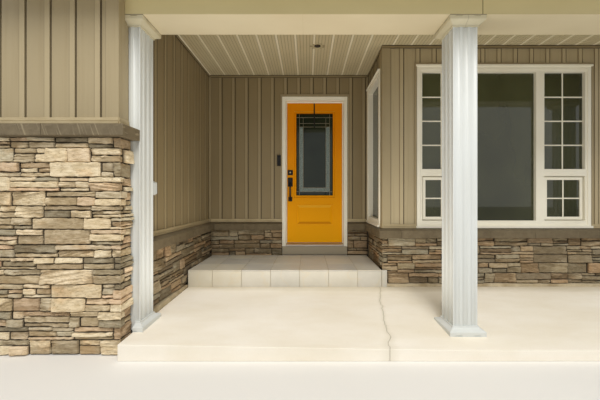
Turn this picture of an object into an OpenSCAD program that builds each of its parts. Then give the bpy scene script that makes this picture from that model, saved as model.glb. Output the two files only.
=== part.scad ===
// Entrance porch: a recessed doorway between a projecting garage wall and a
// front room, under a boxed beam on fluted square columns.
// Origin: on the ground, on the door's centre line, in the plane of the front
// room's stone face. +X runs right along the front, +Y runs into the house.

/* [Door] */
// Width of the door slab
door_w = 813; // [760:1:915]
// Height of the door slab
door_h = 2032; // [1980:1:2130]
// Thickness of the door slab
door_t = 45; // [40:1:50]
// Running gap between the slab and its frame
door_gap = 5; // [4:0.5:6]
// Width of the frame's jambs
jamb_w = 32; // [25:1:40]
// Width of the moulding round the doorway
casing_w = 52; // [45:1:60]
// Thickness of the moulding round the doorway
casing_t = 32; // [25:1:36]
// Width of the glazed opening in the slab
lite_w = 533; // [450:1:560]
// Height of the glazed opening in the slab
lite_h = 1194; // [1000:1:1220]
// Bottom of the slab to the bottom of the glazed opening
lite_up = 684; // [640:1:720]
// Width of the raised panel under the glass
panel_w = 535; // [450:1:560]
// Height of the raised panel under the glass
panel_h = 302; // [250:1:340]
// Bottom of the slab to the bottom of the raised panel
panel_up = 255; // [220:1:280]
// Door centre line to the locks
lock_side = 353; // [330:1:360]
// Bottom of the slab to the middle of the deadbolt
bolt_up = 1017; // [1010:1:1100]
// Bottom of the slab to the top of the handle's plate
handle_up = 942; // [900:1:960]
// Height of the whole handle
handle_h = 343; // [300:1:360]
// Number of hinges
hinge_count = 3; // [2:1:4]

/* [Plan] */
// Door centre line to the siding of the garage side wall
left_reach = 1500; // [1350:1:1700]
// Door centre line to the siding of the alcove's window wall
right_reach = 757; // [700:1:900]
// Front room's stone face to the siding round the door
alcove_depth = 870; // [780:1:1000]
// Front room's stone face to the garage's siding
garage_ahead = 1109; // [1000:1:1200]
// Length of garage front that is built, up to its plain end
garage_len = 950; // [700:1:1200]
// Door centre line to the plain right end of the porch
right_end = 3900; // [3800:1:4100]
// Front room's stone face to the front edge of the slab
slab_reach = 1215; // [1206:1:1400]

/* [Levels] */
// Thickness of the porch slab at the house
slab_t = 150; // [120:1:200]
// Fall of the porch slab to its front edge at the garage
slab_fall = 32; // [10:1:40]
// Further fall of the slab's front edge from the garage to the middle column
slab_side_fall = 42; // [0:1:60]
// Height of the landing above the slab
landing_h = 187; // [150:1:200]
// Height of the grey board between the landing and the sill
riser_h = 116; // [90:1:130]
// Height of the door sill
sill_h = 35; // [28:1:45]
// Porch floor to the ceiling
ceiling_up = 2745; // [2700:1:2900]
// Ceiling down to the underside of the boxed beam
beam_drop = 344; // [300:1:400]

/* [Walls] */
// Thickness of the framed walls behind their cladding
wall_t = 114; // [100:1:165]
// Thickness of the siding and its battens
siding_t = 20; // [16:1:26]
// Distance from one siding groove to the next
siding_pitch = 186; // [150:1:220]
// Width of the raised batten beside each groove
batten_w = 42; // [30:1:60]
// Height of the batten above the board
batten_rise = 6; // [3:0.5:8]
// Width of each siding groove
groove_w = 12; // [8:1:16]
// Depth of each siding groove below the board
groove_d = 8; // [4:1:9]
// How far the stone stands in front of the siding
stone_proud = 60; // [40:1:75]
// The same on the alcove's window wall
side_stone_proud = 25; // [20:1:60]
// Top of the low stone above the porch floor
low_stone_up = 544; // [450:1:600]
// Top of the garage stone above the porch floor
tall_stone_up = 1441; // [1300:1:1550]
// Height of a ledge at its front
ledge_h = 86; // [70:1:110]
// Extra height of a ledge at its back
ledge_wash = 18; // [8:1:24]
// How far a ledge stands in front of the stone
ledge_proud = 35; // [25:1:45]
// Height of the channel that the siding stands in
channel_h = 30; // [20:1:40]
// Width of the corner posts of the siding
post_w = 90; // [70:1:100]
// How far a corner post stands in front of the siding
post_proud = 6; // [3:1:10]

/* [Front window] */
// Width of the front window over its frame
front_win_w = 1989; // [1800:1:2100]
// Door centre line to the middle of the front window
front_win_x = 2143; // [2050:1:2200]
// Ceiling down to the top of both windows
win_drop = 247; // [200:1:400]
// Porch floor to the bottom of both windows
win_up = 650; // [649:1:700]
// Face width of a window frame
win_border = 62; // [50:1:75]
// Face height of a window's sill
win_sill_h = 84; // [70:1:95]
// Depth of a window frame
win_depth = 80; // [70:1:100]
// How far the front window's frame stands in front of the siding
win_proud = 8; // [2:1:15]
// How far the alcove window's frame stands in front of the siding
side_win_proud = 20; // [2:1:24]
// Distance of the glass behind the frame's face
glass_back = 45; // [30:1:55]
// Distance of the glass behind the alcove window's face
side_glass_back = 72; // [40:1:80]
// Depth of the alcove window's frame
side_win_depth = 110; // [95:1:120]
// Clear width of each side light of the front window
flank_w = 466; // [400:1:500]
// Width of the posts between the front window's lights
mullion_w = 95; // [70:1:110]
// Clear height of the lower lights that open
vent_h = 511; // [400:1:600]
// Height of the rail over the lower lights
rail_h = 80; // [60:1:95]
// Face width of a lower light's own frame
sash_w = 32; // [26:1:40]
// Thickness of each sheet of glass
glass_t = 18; // [6:1:22]

/* [Side window] */
// Width of the alcove window over its frame
side_win_w = 680; // [560:1:700]
// Front room's stone face to the middle of the alcove window
side_win_y = 490; // [480:1:500]

/* [Columns] */
// Side of a square column shaft
shaft_w = 190; // [150:1:220]
// Number of flutes on each face
flutes = 3; // [2:1:4]
// Width of one flute
flute_w = 44; // [30:1:46]
// Depth of one flute
flute_d = 6; // [3:0.5:8]
// Thickness of the shaft's metal behind its flutes
shaft_wall = 4; // [2:0.5:6]
// Side of the cap at its top
cap_w = 280; // [260:1:290]
// Height of a cap
cap_h = 72; // [60:1:110]
// Height of a base
base_h = 66; // [60:1:110]
// Front room's stone face to the columns' middle
column_ahead = 901; // [890:1:915]
// Distance between column centres
column_pitch = 2625; // [2500:1:2650]

/* [Beam and ceiling] */
// Front room's stone face to the front of the boxed beam
beam_ahead = 1042; // [1035:1:1060]
// Width of the boxed beam over its cladding
beam_w = 282; // [270:1:300]
// Thickness of the boards inside the boxed beam
beam_board = 38; // [30:1:50]
// Thickness of the beam's metal cladding
clad_t = 4; // [2:0.5:6]
// Thickness of the ceiling panels
soffit_t = 16; // [12:1:20]
// Distance from one ceiling rib to the next
rib_pitch = 208; // [150:1:230]
// Diameter of the ceiling lamp's hole
lamp_d = 96; // [80:1:120]
// Door centre line to the lamp
lamp_x = 12; // [-200:1:200]
// Front room's stone face to the lamp, into the alcove
lamp_y = 84; // [60:1:250]

/* [Roof] */
// Pitch of the roof in degrees
roof_pitch = 18; // [14:1:22]
// Height of the roof's heel above the ceiling
heel_h = 150; // [120:1:200]
// Reach of the eave in front of the beam
eave_reach = 400; // [300:1:450]
// Thickness of the roof boarding
deck_t = 18; // [15:1:25]
// Thickness of the roof covering
cover_t = 12; // [8:1:20]
// Height of the eave board
fascia_h = 150; // [140:1:180]

/* [Hidden] */
$fn = 48;
slack = 1;

floor_z = slab_t;
landing_z = floor_z + landing_h;
sill_z = landing_z + riser_h;
door_z = sill_z + sill_h + door_gap;
head_z = door_z + door_h + door_gap;
ceiling_z = floor_z + ceiling_up;
beam_z = ceiling_z - beam_drop;
low_z = floor_z + low_stone_up;
tall_z = floor_z + tall_stone_up;
win_z = floor_z + win_up;
win_h = ceiling_up - win_drop - win_up;
ledge_top = ledge_h + ledge_wash;

left_x = -left_reach;
right_x = right_reach;
left_core_x = left_x - siding_t;
right_core_x = right_x + siding_t;
garage_end_x = left_x - garage_len;
room_y = stone_proud;
door_y = alcove_depth;
garage_y = -garage_ahead;
room_core_y = room_y + siding_t;
door_core_y = door_y + siding_t;
garage_core_y = garage_y + siding_t;
inside_y = door_core_y + wall_t;
opening_half = door_w / 2 + door_gap + jamb_w;

left_stone_x = left_x + stone_proud;
right_stone_x = right_x - side_stone_proud;
door_stone_y = door_y - stone_proud;
garage_stone_y = garage_y - stone_proud;

column_y = -column_ahead;
beam_front_y = -beam_ahead;
beam_back_y = beam_front_y + beam_w;
middle_x = left_x + column_pitch;
end_x = middle_x + column_pitch;
eave_y = beam_front_y - eave_reach;
roof_rise = tan(roof_pitch);

wood_white = "white";
siding_tan = [0.68, 0.62, 0.48];
stone_grey = [0.62, 0.56, 0.47];
ledge_grey = [0.45, 0.41, 0.34];
beam_cream = [0.87, 0.83, 0.72];

// Box from its lowest and highest corners.
module box(low, high) {
    translate(low) cube([high[0] - low[0], high[1] - low[1], high[2] - low[2]]);
}

// Fall of the slab's front edge at a distance x from the door's centre line.
function edge_fall(x) = slab_fall + slab_side_fall
    * max(0, min(1, (x - left_stone_x) / (middle_x - left_stone_x)));

// Height of the slab's top on a line from the house to its front edge.
function slab_z(x, y) = slab_t + edge_fall(x) * y / slab_reach;

// The porch slab's solid, level at the house. It falls to its front edge, and the edge
// falls from the garage to the middle column.
module slab_body() {
    points = [for (x = [left_stone_x, middle_x, right_end]) each [
        [x, -slab_reach, 0], [x, 0, 0], [x, 0, slab_t],
        [x, -slab_reach, slab_z(x, -slab_reach)]]];
    sides = [for (i = [0, 4], k = [0, 1, 3])
        [i + k, i + 4 + k, i + 4 + (k + 1) % 4, i + (k + 1) % 4]];
    top = [for (i = [0, 4]) each [[i + 2, i + 6, i + 3], [i + 6, i + 7, i + 3]]];
    polyhedron(points, concat([[0, 1, 2, 3], [11, 10, 9, 8]], sides, top));
}

// Height of the roof boarding's underside at a distance y from the front.
function under_roof(y) = ceiling_z + heel_h + (y - beam_front_y) * roof_rise;

// Everything below the roof boarding, for trimming the walls.
module below_roof() {
    translate([garage_end_x - slack, 0, 0])
        rotate([90, 0, 90])
            linear_extrude(right_end - garage_end_x + 2 * slack)
                polygon([[eave_y - slack, -slack], [inside_y + slack, -slack],
                    [inside_y + slack, under_roof(inside_y + slack)],
                    [eave_y - slack, under_roof(eave_y - slack)]]);
}

// Plan of the roof: over the garage front, the alcove and the front room's wall.
module roof_plan() {
    translate([garage_end_x, eave_y])
        square([right_end - garage_end_x, garage_core_y + wall_t - eave_y]);
    translate([left_core_x - wall_t, eave_y])
        square([right_end - left_core_x + wall_t, room_core_y + wall_t - eave_y]);
    translate([left_core_x - wall_t, eave_y])
        square([right_core_x + wall_t - left_core_x + wall_t, inside_y - eave_y]);
}

// A sloping layer of the roof between two heights above the boarding's underside.
module roof_layer(low, high) {
    intersection() {
        linear_extrude(under_roof(inside_y) + high + slack) roof_plan();
        translate([garage_end_x - slack, 0, 0])
            rotate([90, 0, 90])
                linear_extrude(right_end - garage_end_x + 2 * slack)
                    polygon([
                        [eave_y - slack, under_roof(eave_y - slack) + low],
                        [inside_y + slack, under_roof(inside_y + slack) + low],
                        [inside_y + slack, under_roof(inside_y + slack) + high],
                        [eave_y - slack, under_roof(eave_y - slack) + high]]);
    }
}

// Each wall's first groove, from the end where its siding starts.
garage_front_seam = 68;
garage_side_seam = 57;
door_wall_seam = 172;
alcove_side_seam = 138;
front_room_seam = 147;

// Siding panel along +X with its battens' faces in the plane y = 0, standing in a
// channel that covers its foot.
module siding(length, height, first) {
    board = batten_rise;
    bed = batten_rise + groove_d;
    seams = [for (s = [first : siding_pitch : length - groove_w])
        if (s > batten_w) s];
    front = [for (s = seams) each [
        [s - batten_w, board], [s - batten_w, 0], [s, 0], [s, bed],
        [s + groove_w, bed], [s + groove_w, board]]];
    linear_extrude(height)
        polygon(concat([[0, siding_t], [0, board]], front,
            [[length, board], [length, siding_t]]));
    cube([length, siding_t, channel_h]);
}

// Outline of a ledge: its back on the vertical axis, its face to the left.
function ledge_outline(depth) = [[0, 0], [-depth, 0], [-depth, ledge_h], [0, ledge_top]];

// Ledge along +X: its back in the plane y = 0, its face towards -Y.
module ledge(length, depth) {
    rotate([90, 0, 90]) linear_extrude(length) polygon(ledge_outline(depth));
}

// Prism along Y over an outline in X and Z.
module across(outline, low_y, high_y) {
    translate([0, high_y, 0]) rotate([90, 0, 0]) linear_extrude(high_y - low_y)
        polygon(outline);
}

// Block that rises from a wall by t, with sloping edges, centred on the X axis.
module raised_field(width, height, t, slope) {
    intersection() {
        linear_extrude(height) polygon([[-width / 2, 0], [-width / 2 + slope, -t],
            [width / 2 - slope, -t], [width / 2, 0]]);
        translate([-width / 2, 0, 0]) rotate([90, 0, 90]) linear_extrude(width)
            polygon([[0, 0], [-t, slope], [-t, height - slope], [0, height]]);
    }
}

module porch_slab() {
    color([0.76, 0.73, 0.66]) slab_body();
}

landing_front_y = -18;
strip_w = 57;
strip_t = 8;
strip_lap = 5;
module landing_step() {
    color([0.82, 0.79, 0.7]) {
        box([left_stone_x, 0, 0], [right_stone_x, door_stone_y, landing_z]);
        difference() {
            union() {
                box([left_stone_x, landing_front_y, 0],
                    [right_stone_x, 0, landing_z]);
                box([right_stone_x - strip_lap, landing_front_y - strip_t, 0],
                    [right_stone_x - strip_lap + strip_w, 0, landing_z]);
            }
            slab_body();
        }
    }
}

module garage_front_wall() {
    color("wheat") intersection() {
        box([garage_end_x, garage_core_y, 0],
            [left_core_x - wall_t, garage_core_y + wall_t, under_roof(inside_y)]);
        below_roof();
    }
}

module garage_side_wall() {
    color("wheat") intersection() {
        box([left_core_x - wall_t, garage_core_y, 0],
            [left_core_x, inside_y, under_roof(inside_y)]);
        below_roof();
    }
}

module door_wall_left() {
    color("wheat") box([left_core_x, door_core_y, 0],
        [-opening_half, inside_y, head_z + jamb_w]);
}

module door_wall_right() {
    color("wheat") box([opening_half, door_core_y, 0],
        [right_core_x, inside_y, head_z + jamb_w]);
}

module door_wall_over() {
    color("wheat") intersection() {
        box([left_core_x, door_core_y, head_z + jamb_w],
            [right_core_x, inside_y, under_roof(inside_y)]);
        below_roof();
    }
}

module door_wall_under() {
    color("wheat") box([-opening_half, door_core_y, 0],
        [opening_half, inside_y, sill_z]);
}

module side_window_hole(front, back) {
    translate([0, side_win_y - side_win_w / 2, win_z])
        box([front, 0, 0], [back, side_win_w, win_h]);
}

module front_window_hole(front, back) {
    translate([front_win_x - front_win_w / 2, 0, win_z])
        box([0, front, 0], [front_win_w, back, win_h]);
}

module alcove_side_wall() {
    color("wheat") intersection() {
        difference() {
            box([right_core_x, room_core_y, 0],
                [right_core_x + wall_t, inside_y, under_roof(inside_y)]);
            side_window_hole(right_core_x - slack, right_core_x + wall_t + slack);
        }
        below_roof();
    }
}

module front_room_wall() {
    color("wheat") intersection() {
        difference() {
            box([right_core_x + wall_t, room_core_y, 0],
                [right_end, room_core_y + wall_t, under_roof(inside_y)]);
            front_window_hole(room_core_y - slack, room_core_y + wall_t + slack);
        }
        below_roof();
    }
}

module garage_front_siding() {
    low = tall_z + ledge_top;
    color(siding_tan) translate([garage_end_x, garage_y, low])
        siding(garage_len - post_w, ceiling_z - low, garage_front_seam);
}

module garage_side_siding() {
    start = stone_stop_y;
    low = low_z + ledge_top;
    color(siding_tan) difference() {
        translate([left_x, start, low]) rotate([0, 0, 90])
            siding(door_core_y - start, ceiling_z - low, garage_side_seam);
        box([left_core_x - slack, start - slack, low - slack],
            [left_x + slack, column_y + shaft_w / 2, tall_z + ledge_top]);
    }
}

module door_wall_siding() {
    low = low_z + ledge_top;
    span = opening_half - jamb_w + casing_w;
    color(siding_tan) difference() {
        translate([left_x, door_y, low])
            siding(left_reach + right_reach, ceiling_z - low, door_wall_seam);
        box([-span, door_y - slack, low - slack],
            [span, door_core_y + slack, head_z + casing_w]);
    }
}

module alcove_side_siding() {
    low = low_z + ledge_top;
    stop = room_y + post_w;
    color(siding_tan) difference() {
        translate([right_x, door_y, low]) rotate([0, 0, -90])
            siding(door_y - stop, ceiling_z - low, alcove_side_seam);
        side_window_hole(right_x - slack, right_core_x + slack);
    }
}

module front_room_siding() {
    low = low_z + ledge_top;
    start = right_x + post_w;
    color(siding_tan) difference() {
        translate([start, room_y, low])
            siding(right_end - start, ceiling_z - low, front_room_seam);
        front_window_hole(room_y - slack, room_core_y + slack);
    }
}

module siding_corner_posts() {
    low = low_z + ledge_top;
    tall = tall_z + ledge_top;
    color(siding_tan) {
        difference() {
            box([right_x - post_proud, room_y - post_proud, low],
                [right_x + post_w, room_y + post_w, ceiling_z]);
            box([right_core_x, room_core_y, low - slack],
                [right_x + post_w + slack, room_y + post_w + slack,
                    ceiling_z + slack]);
        }
        difference() {
            box([left_x - post_w, garage_y - post_proud, tall],
                [left_x + post_proud, stone_stop_y, ceiling_z]);
            box([left_x - post_w - slack, garage_core_y, tall - slack],
                [left_core_x, stone_stop_y + slack, ceiling_z + slack]);
            box([left_x, beam_front_y, beam_z - cap_h],
                [left_x + post_proud + slack, stone_stop_y + slack,
                    ceiling_z + slack]);
        }
    }
}

stone_stop_y = column_y - shaft_w / 2;
stone_start_y = column_y + shaft_w / 2;
module garage_stone() {
    color(stone_grey) difference() {
        box([garage_end_x, garage_stone_y, 0],
            [left_stone_x, stone_stop_y, tall_z]);
        box([garage_end_x - slack, garage_core_y, -slack],
            [left_core_x, stone_stop_y + slack, tall_z + slack]);
    }
}

module garage_side_stone() {
    color(stone_grey) box([left_core_x, stone_start_y, 0],
        [left_stone_x, door_core_y, low_z]);
}

door_stone_half = opening_half - jamb_w + casing_w;
module door_wall_stone() {
    color(stone_grey) {
        box([left_stone_x, door_stone_y, 0], [-door_stone_half, door_core_y, low_z]);
        box([door_stone_half, door_stone_y, 0], [right_stone_x, door_core_y, low_z]);
    }
}

module alcove_side_stone() {
    color(stone_grey) box([right_stone_x, 0, 0],
        [right_core_x, door_core_y, low_z]);
}

module front_room_stone() {
    color(stone_grey) box([right_core_x, 0, 0],
        [right_end, room_core_y, low_z]);
}

module garage_ledge() {
    depth = stone_proud + ledge_proud;
    color(ledge_grey) translate([0, 0, tall_z]) {
        intersection() {
            translate([garage_end_x, garage_y, 0]) ledge(garage_len + depth, depth);
            across([[garage_end_x, 0], [garage_end_x, ledge_top], [left_x, ledge_top],
                [left_x + depth, ledge_h], [left_x + depth, 0]],
                garage_y - depth, garage_y);
        }
        translate([left_x, garage_y, 0]) rotate([0, 0, 90])
            ledge(stone_stop_y - garage_y, depth);
    }
}

module garage_side_ledge() {
    depth = stone_proud + ledge_proud;
    color(ledge_grey) translate([left_x, stone_start_y, low_z])
        rotate([0, 0, 90]) ledge(door_y - stone_start_y, depth);
}

module door_wall_ledge() {
    depth = stone_proud + ledge_proud;
    color(ledge_grey) {
        translate([left_x + depth, door_y, low_z])
            ledge(left_reach - depth - door_stone_half, depth);
        translate([door_stone_half, door_y, low_z])
            ledge(right_stone_x - ledge_proud - door_stone_half, depth);
    }
}

module alcove_side_ledge() {
    depth = side_stone_proud + ledge_proud;
    color(ledge_grey) translate([right_x, door_y, low_z])
        rotate([0, 0, -90]) ledge(door_y - room_y, depth);
}

module front_room_ledge() {
    depth = stone_proud + ledge_proud;
    corner_x = right_x - side_stone_proud - ledge_proud;
    color(ledge_grey) translate([0, 0, low_z]) intersection() {
        translate([corner_x, room_y, 0]) ledge(right_end - corner_x, depth);
        across([[corner_x, 0], [corner_x, ledge_h], [right_x, ledge_top],
            [right_end, ledge_top], [right_end, 0]], room_y - depth, room_y);
    }
}

stop_t = 12;
stop_w = 12;
module door_frame() {
    outer = opening_half;
    inner = opening_half - jamb_w;
    back = inside_y - door_t - door_gap;
    color(wood_white) {
        difference() {
            box([-outer, door_core_y, sill_z], [outer, inside_y, head_z + jamb_w]);
            box([-inner, door_core_y - slack, sill_z - slack],
                [inner, inside_y + slack, head_z]);
        }
        difference() {
            box([-inner, back - stop_t, sill_z + sill_h], [inner, back, head_z]);
            box([-inner + stop_w, back - stop_t - slack, sill_z],
                [inner - stop_w, back + slack, head_z - stop_w]);
        }
    }
}

// Outline of the stepped moulding, from its inner edge outwards.
casing_outline = [[0, 0], [0, casing_t - 14], [5, casing_t - 8], [24, casing_t - 8],
    [29, casing_t - 3], [casing_w - 6, casing_t], [casing_w, casing_t], [casing_w, 0]];

module door_casing() {
    inner = opening_half - jamb_w;
    outer = inner + casing_w;
    color(wood_white) translate([0, door_core_y, 0]) {
        for (side = [-1, 1])
            translate([0, 0, sill_z]) linear_extrude(head_z + casing_w - sill_z)
                polygon([for (p = casing_outline) [side * (inner + p[0]), -p[1]]]);
        translate([-outer, 0, head_z]) rotate([90, 0, 90]) linear_extrude(2 * outer)
            polygon([for (p = casing_outline) [-p[1], p[0]]]);
    }
}

module door_sill() {
    inner = opening_half - jamb_w;
    front = door_core_y - casing_t;
    top = sill_z + sill_h;
    nose = 12;
    color([0.6, 0.58, 0.52]) translate([-inner, 0, 0]) rotate([90, 0, 90])
        linear_extrude(2 * inner)
            polygon([[front, sill_z], [front, top - nose], [front + nose, top - nose / 2],
                [slab_front_y - stop_t, top], [inside_y, top], [inside_y, sill_z]]);
}

module riser_board() {
    color([0.5, 0.46, 0.38]) box([-door_stone_half, door_core_y - siding_t, landing_z],
        [door_stone_half, door_core_y, sill_z]);
}

slab_front_y = inside_y - door_t;
lite_frame_w = 30;
lite_frame_t = 9;
lite_slope = 9;
panel_groove = 14;
panel_d = 6;
panel_slope = 34;

// One face of the slab: the moulding round the glass and the panel's raised field.
module slab_face() {
    difference() {
        translate([0, 0, lite_up - lite_frame_w])
            raised_field(lite_w + 2 * lite_frame_w, lite_h + 2 * lite_frame_w,
                lite_frame_t, lite_slope);
        box([-lite_w / 2, -lite_frame_t - slack, lite_up],
            [lite_w / 2, slack, lite_up + lite_h]);
    }
    translate([0, panel_d, panel_up + panel_groove])
        raised_field(panel_w - 2 * panel_groove, panel_h - 2 * panel_groove,
            panel_d, panel_slope);
}

module door_slab() {
    color("orange") translate([0, 0, door_z]) {
        difference() {
            box([-door_w / 2, slab_front_y, 0], [door_w / 2, inside_y, door_h]);
            box([-lite_w / 2, slab_front_y - slack, lite_up],
                [lite_w / 2, inside_y + slack, lite_up + lite_h]);
            box([-panel_w / 2, slab_front_y - slack, panel_up],
                [panel_w / 2, slab_front_y + panel_d, panel_up + panel_h]);
            box([-panel_w / 2, inside_y - panel_d, panel_up],
                [panel_w / 2, inside_y + slack, panel_up + panel_h]);
        }
        translate([0, slab_front_y, 0]) slab_face();
        translate([0, inside_y, 0]) mirror([0, 1, 0]) slab_face();
    }
}

module door_glass() {
    mid = slab_front_y + door_t / 2;
    color([0.6, 0.75, 0.75]) box([-lite_w / 2, mid - glass_t / 2, door_z + lite_up],
        [lite_w / 2, mid + glass_t / 2, door_z + lite_up + lite_h]);
}

lock_x = -lock_side;
bolt_size = 75;
bolt_plate_t = 14;
module deadbolt() {
    z = door_z + bolt_up;
    color("black") {
        translate([lock_x, slab_front_y, z - bolt_size / 2])
            raised_field(bolt_size, bolt_size, bolt_plate_t, 4);
        translate([lock_x, slab_front_y - bolt_plate_t, z]) rotate([90, 0, 0])
            cylinder(d = 42, h = 8);
    }
}

plate_w = 71;
plate_h = 130;
plate_t = 14;
foot_w = 58;
foot_h = 66;
grip_reach = 52;
grip_w = 22;
grip_t = 13;
grip_steps = 14;

// Point on the side view of the bowed grip, t running from its foot to its top.
function grip_point(t, reach, low, high) =
    [-plate_t - reach * pow(sin(180 * t), 0.6), low + (high - low) * t];

// Handle with a plate, a bowed grip and a lower foot.
module door_handle() {
    top = door_z + handle_up;
    low = top - handle_h;
    grip_top = top - plate_h / 2;
    grip_low = low + foot_h / 4;
    outer = [for (i = [0 : grip_steps])
        grip_point(i / grip_steps, grip_reach, grip_low, grip_top)];
    inner = [for (i = [grip_steps : -1 : 0])
        grip_point(i / grip_steps, grip_reach - grip_t, grip_low + grip_t,
            grip_top - grip_t)];
    color("black") {
        translate([lock_x, slab_front_y, top - plate_h])
            raised_field(plate_w, plate_h, plate_t, 4);
        translate([lock_x, slab_front_y, low])
            raised_field(foot_w, foot_h, plate_t, 4);
        translate([lock_x - grip_w / 2, slab_front_y + slack, 0]) rotate([90, 0, 90])
            linear_extrude(grip_w) polygon(concat(outer, inner));
    }
}

hinge_h = 100;
hinge_r = 6;
hinge_out = 7;
leaf_t = 1.2;
leaf_w = 38;
hinge_inset = 180;
hinge_gap = 0.3;
hinge_x = door_w / 2 + door_gap / 2;
hinge_y = inside_y + hinge_out;
// Heights of the hinges' lower ends, spread evenly up the slab.
hinge_zs = [for (i = [0 : hinge_count - 1])
    door_z + hinge_inset + i * (door_h - 2 * hinge_inset - hinge_h) / (hinge_count - 1)];

module door_hinges() {
    color("dimgray") for (z = hinge_zs) {
        translate([hinge_x, hinge_y, z]) cylinder(r = hinge_r, h = hinge_h);
        box([door_w / 2, inside_y - leaf_w, z],
            [door_w / 2 + leaf_t, hinge_y, z + hinge_h]);
    }
}

module frame_hinge_leaves() {
    face = door_w / 2 + door_gap;
    color("dimgray") for (z = hinge_zs)
        box([face - leaf_t, inside_y - leaf_w, z],
            [face, hinge_y - hinge_r - hinge_gap, z + hinge_h]);
}

band_w = 38;
band_t = 8;
sash_rest = 55;
sash_gap = 12;
sash_front = 26;
nosing_h = 26;
nosing_out = 14;
nosing_lap = 12;
drip_h = 18;

// Window frame with its face in the plane y = 0: a raised band round its edge, a
// nosing at its foot and a drip cap over it.
module window_frame(width, depth, lights, proud, lap) {
    difference() {
        box([0, 0, 0], [width, depth, win_h]);
        box([band_w, -slack, band_w], [width - band_w, band_t, win_h - band_w]);
        for (s = lights) box([s[0], -slack, s[2]], [s[1], depth + slack, s[3]]);
    }
    box([-lap, -nosing_out, 0], [width + lap, proud, nosing_h]);
    box([-lap, -nosing_out, win_h - slack], [width + lap, proud, win_h + drip_h]);
}

picture_low = win_border + flank_w + mullion_w;
picture_high = front_win_w - picture_low;
light_top = win_h - win_border;
rail_z = win_sill_h + vent_h;
flank_spans = [[win_border, win_border + flank_w],
    [front_win_w - win_border - flank_w, front_win_w - win_border]];
vent_lights = [for (f = flank_spans) [f[0], f[1], win_sill_h, rail_z]];
fixed_lights = concat([for (f = flank_spans) [f[0], f[1], rail_z + rail_h, light_top]],
    [[picture_low, picture_high, win_sill_h, light_top]]);
side_light = [win_border, side_win_w - win_border, win_sill_h, light_top];

module at_front_window() {
    translate([front_win_x - front_win_w / 2, room_y - win_proud, win_z]) children();
}

module at_side_window() {
    translate([right_x - side_win_proud, side_win_y + side_win_w / 2, win_z])
        rotate([0, 0, -90]) children();
}

module front_window_frame() {
    color("white") at_front_window() {
        window_frame(front_win_w, win_depth, concat(fixed_lights, vent_lights), win_proud,
            nosing_lap);
        for (v = vent_lights) difference() {
            box([v[0], sash_rest, v[2]], [v[1], win_depth, v[3]]);
            box([v[0] + sash_w, sash_rest - slack, v[2] + sash_w],
                [v[1] - sash_w, win_depth + slack, v[3] - sash_w]);
        }
    }
}

module side_window_frame() {
    color("white") at_side_window()
        window_frame(side_win_w, side_win_depth, [side_light], side_win_proud, 0);
}

// The two lower lights, each a frame that closes against a step in the window frame.
module window_sashes() {
    color("white") at_front_window()
        for (v = vent_lights) difference() {
            box([v[0] + sash_gap, sash_front, v[2] + sash_gap],
                [v[1] - sash_gap, sash_rest, v[3] - sash_gap]);
            box([v[0] + sash_gap + sash_w, sash_front - slack, v[2] + sash_gap + sash_w],
                [v[1] - sash_gap - sash_w, sash_rest + slack, v[3] - sash_gap - sash_w]);
        }
}

module window_glass() {
    inset = sash_gap + sash_w;
    color([0.6, 0.75, 0.75]) {
        at_front_window() {
            for (s = fixed_lights)
                box([s[0], glass_back, s[2]], [s[1], glass_back + glass_t, s[3]]);
            for (v = vent_lights)
                box([v[0] + inset, sash_rest - glass_t, v[2] + inset],
                    [v[1] - inset, sash_rest, v[3] - inset]);
        }
        at_side_window()
            box([side_light[0], side_glass_back, side_light[2]],
                [side_light[1], side_glass_back + glass_t, side_light[3]]);
    }
}

bell_w = 58;
bell_h = 155;
bell_t = 22;
bell_x = -508;
bell_up = 1448;
button_r = 14;
button_t = 4;
module doorbell() {
    low = floor_z + bell_up;
    color("black") {
        translate([bell_x, door_y, low]) raised_field(bell_w, bell_h, bell_t, 5);
        translate([bell_x, door_y - bell_t, low + bell_h / 4]) rotate([90, 0, 0])
            cylinder(r = button_r, h = button_t);
    }
}

// Boards on both sides and under the beam, open to the roof.
module porch_beam() {
    skin = clad_t + beam_board;
    color("tan") intersection() {
        difference() {
            box([left_x, beam_front_y + clad_t, beam_z + clad_t],
                [right_end - siding_t, beam_back_y - clad_t, under_roof(inside_y)]);
            box([left_x - slack, beam_front_y + skin, beam_z + skin],
                [right_end, beam_back_y - skin, under_roof(inside_y) + slack]);
        }
        below_roof();
    }
}

module beam_cladding() {
    color(beam_cream) difference() {
        box([left_x, beam_front_y, beam_z], [right_end, beam_back_y, ceiling_z]);
        box([left_x - slack, beam_front_y + clad_t, beam_z + clad_t],
            [right_end - clad_t, beam_back_y - clad_t, ceiling_z + slack]);
    }
}

// Plan of a fluted square shaft.
module shaft_plan() {
    r = (flute_w * flute_w / 4 + flute_d * flute_d) / (2 * flute_d);
    gap = shaft_w / flutes;
    difference() {
        square(shaft_w, center = true);
        square(shaft_w - 2 * (flute_d + shaft_wall), center = true);
        for (turn = [0 : 90 : 270])
            rotate(turn)
                for (i = [0 : flutes - 1])
                    translate([-shaft_w / 2 + (i + 0.5) * gap,
                        shaft_w / 2 + r - flute_d])
                        circle(r);
    }
}

// Square moulding whose outline is given as a half profile of width and height.
module square_moulding(profile) {
    outline = concat(profile, [for (i = [len(profile) - 1 : -1 : 0])
        [-profile[i][0], profile[i][1]]]);
    top = max([for (p = profile) p[0]]);
    intersection() {
        translate([0, top, 0]) rotate([90, 0, 0]) linear_extrude(2 * top)
            polygon(outline);
        rotate([0, 0, 90]) translate([0, top, 0]) rotate([90, 0, 0])
            linear_extrude(2 * top) polygon(outline);
    }
}

bead = 8;
bead_h = 8;
band_top_h = 32;
curve_steps = 8;
slot_w = 50;
slot_h = 8;
slot_d = 6;

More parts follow.
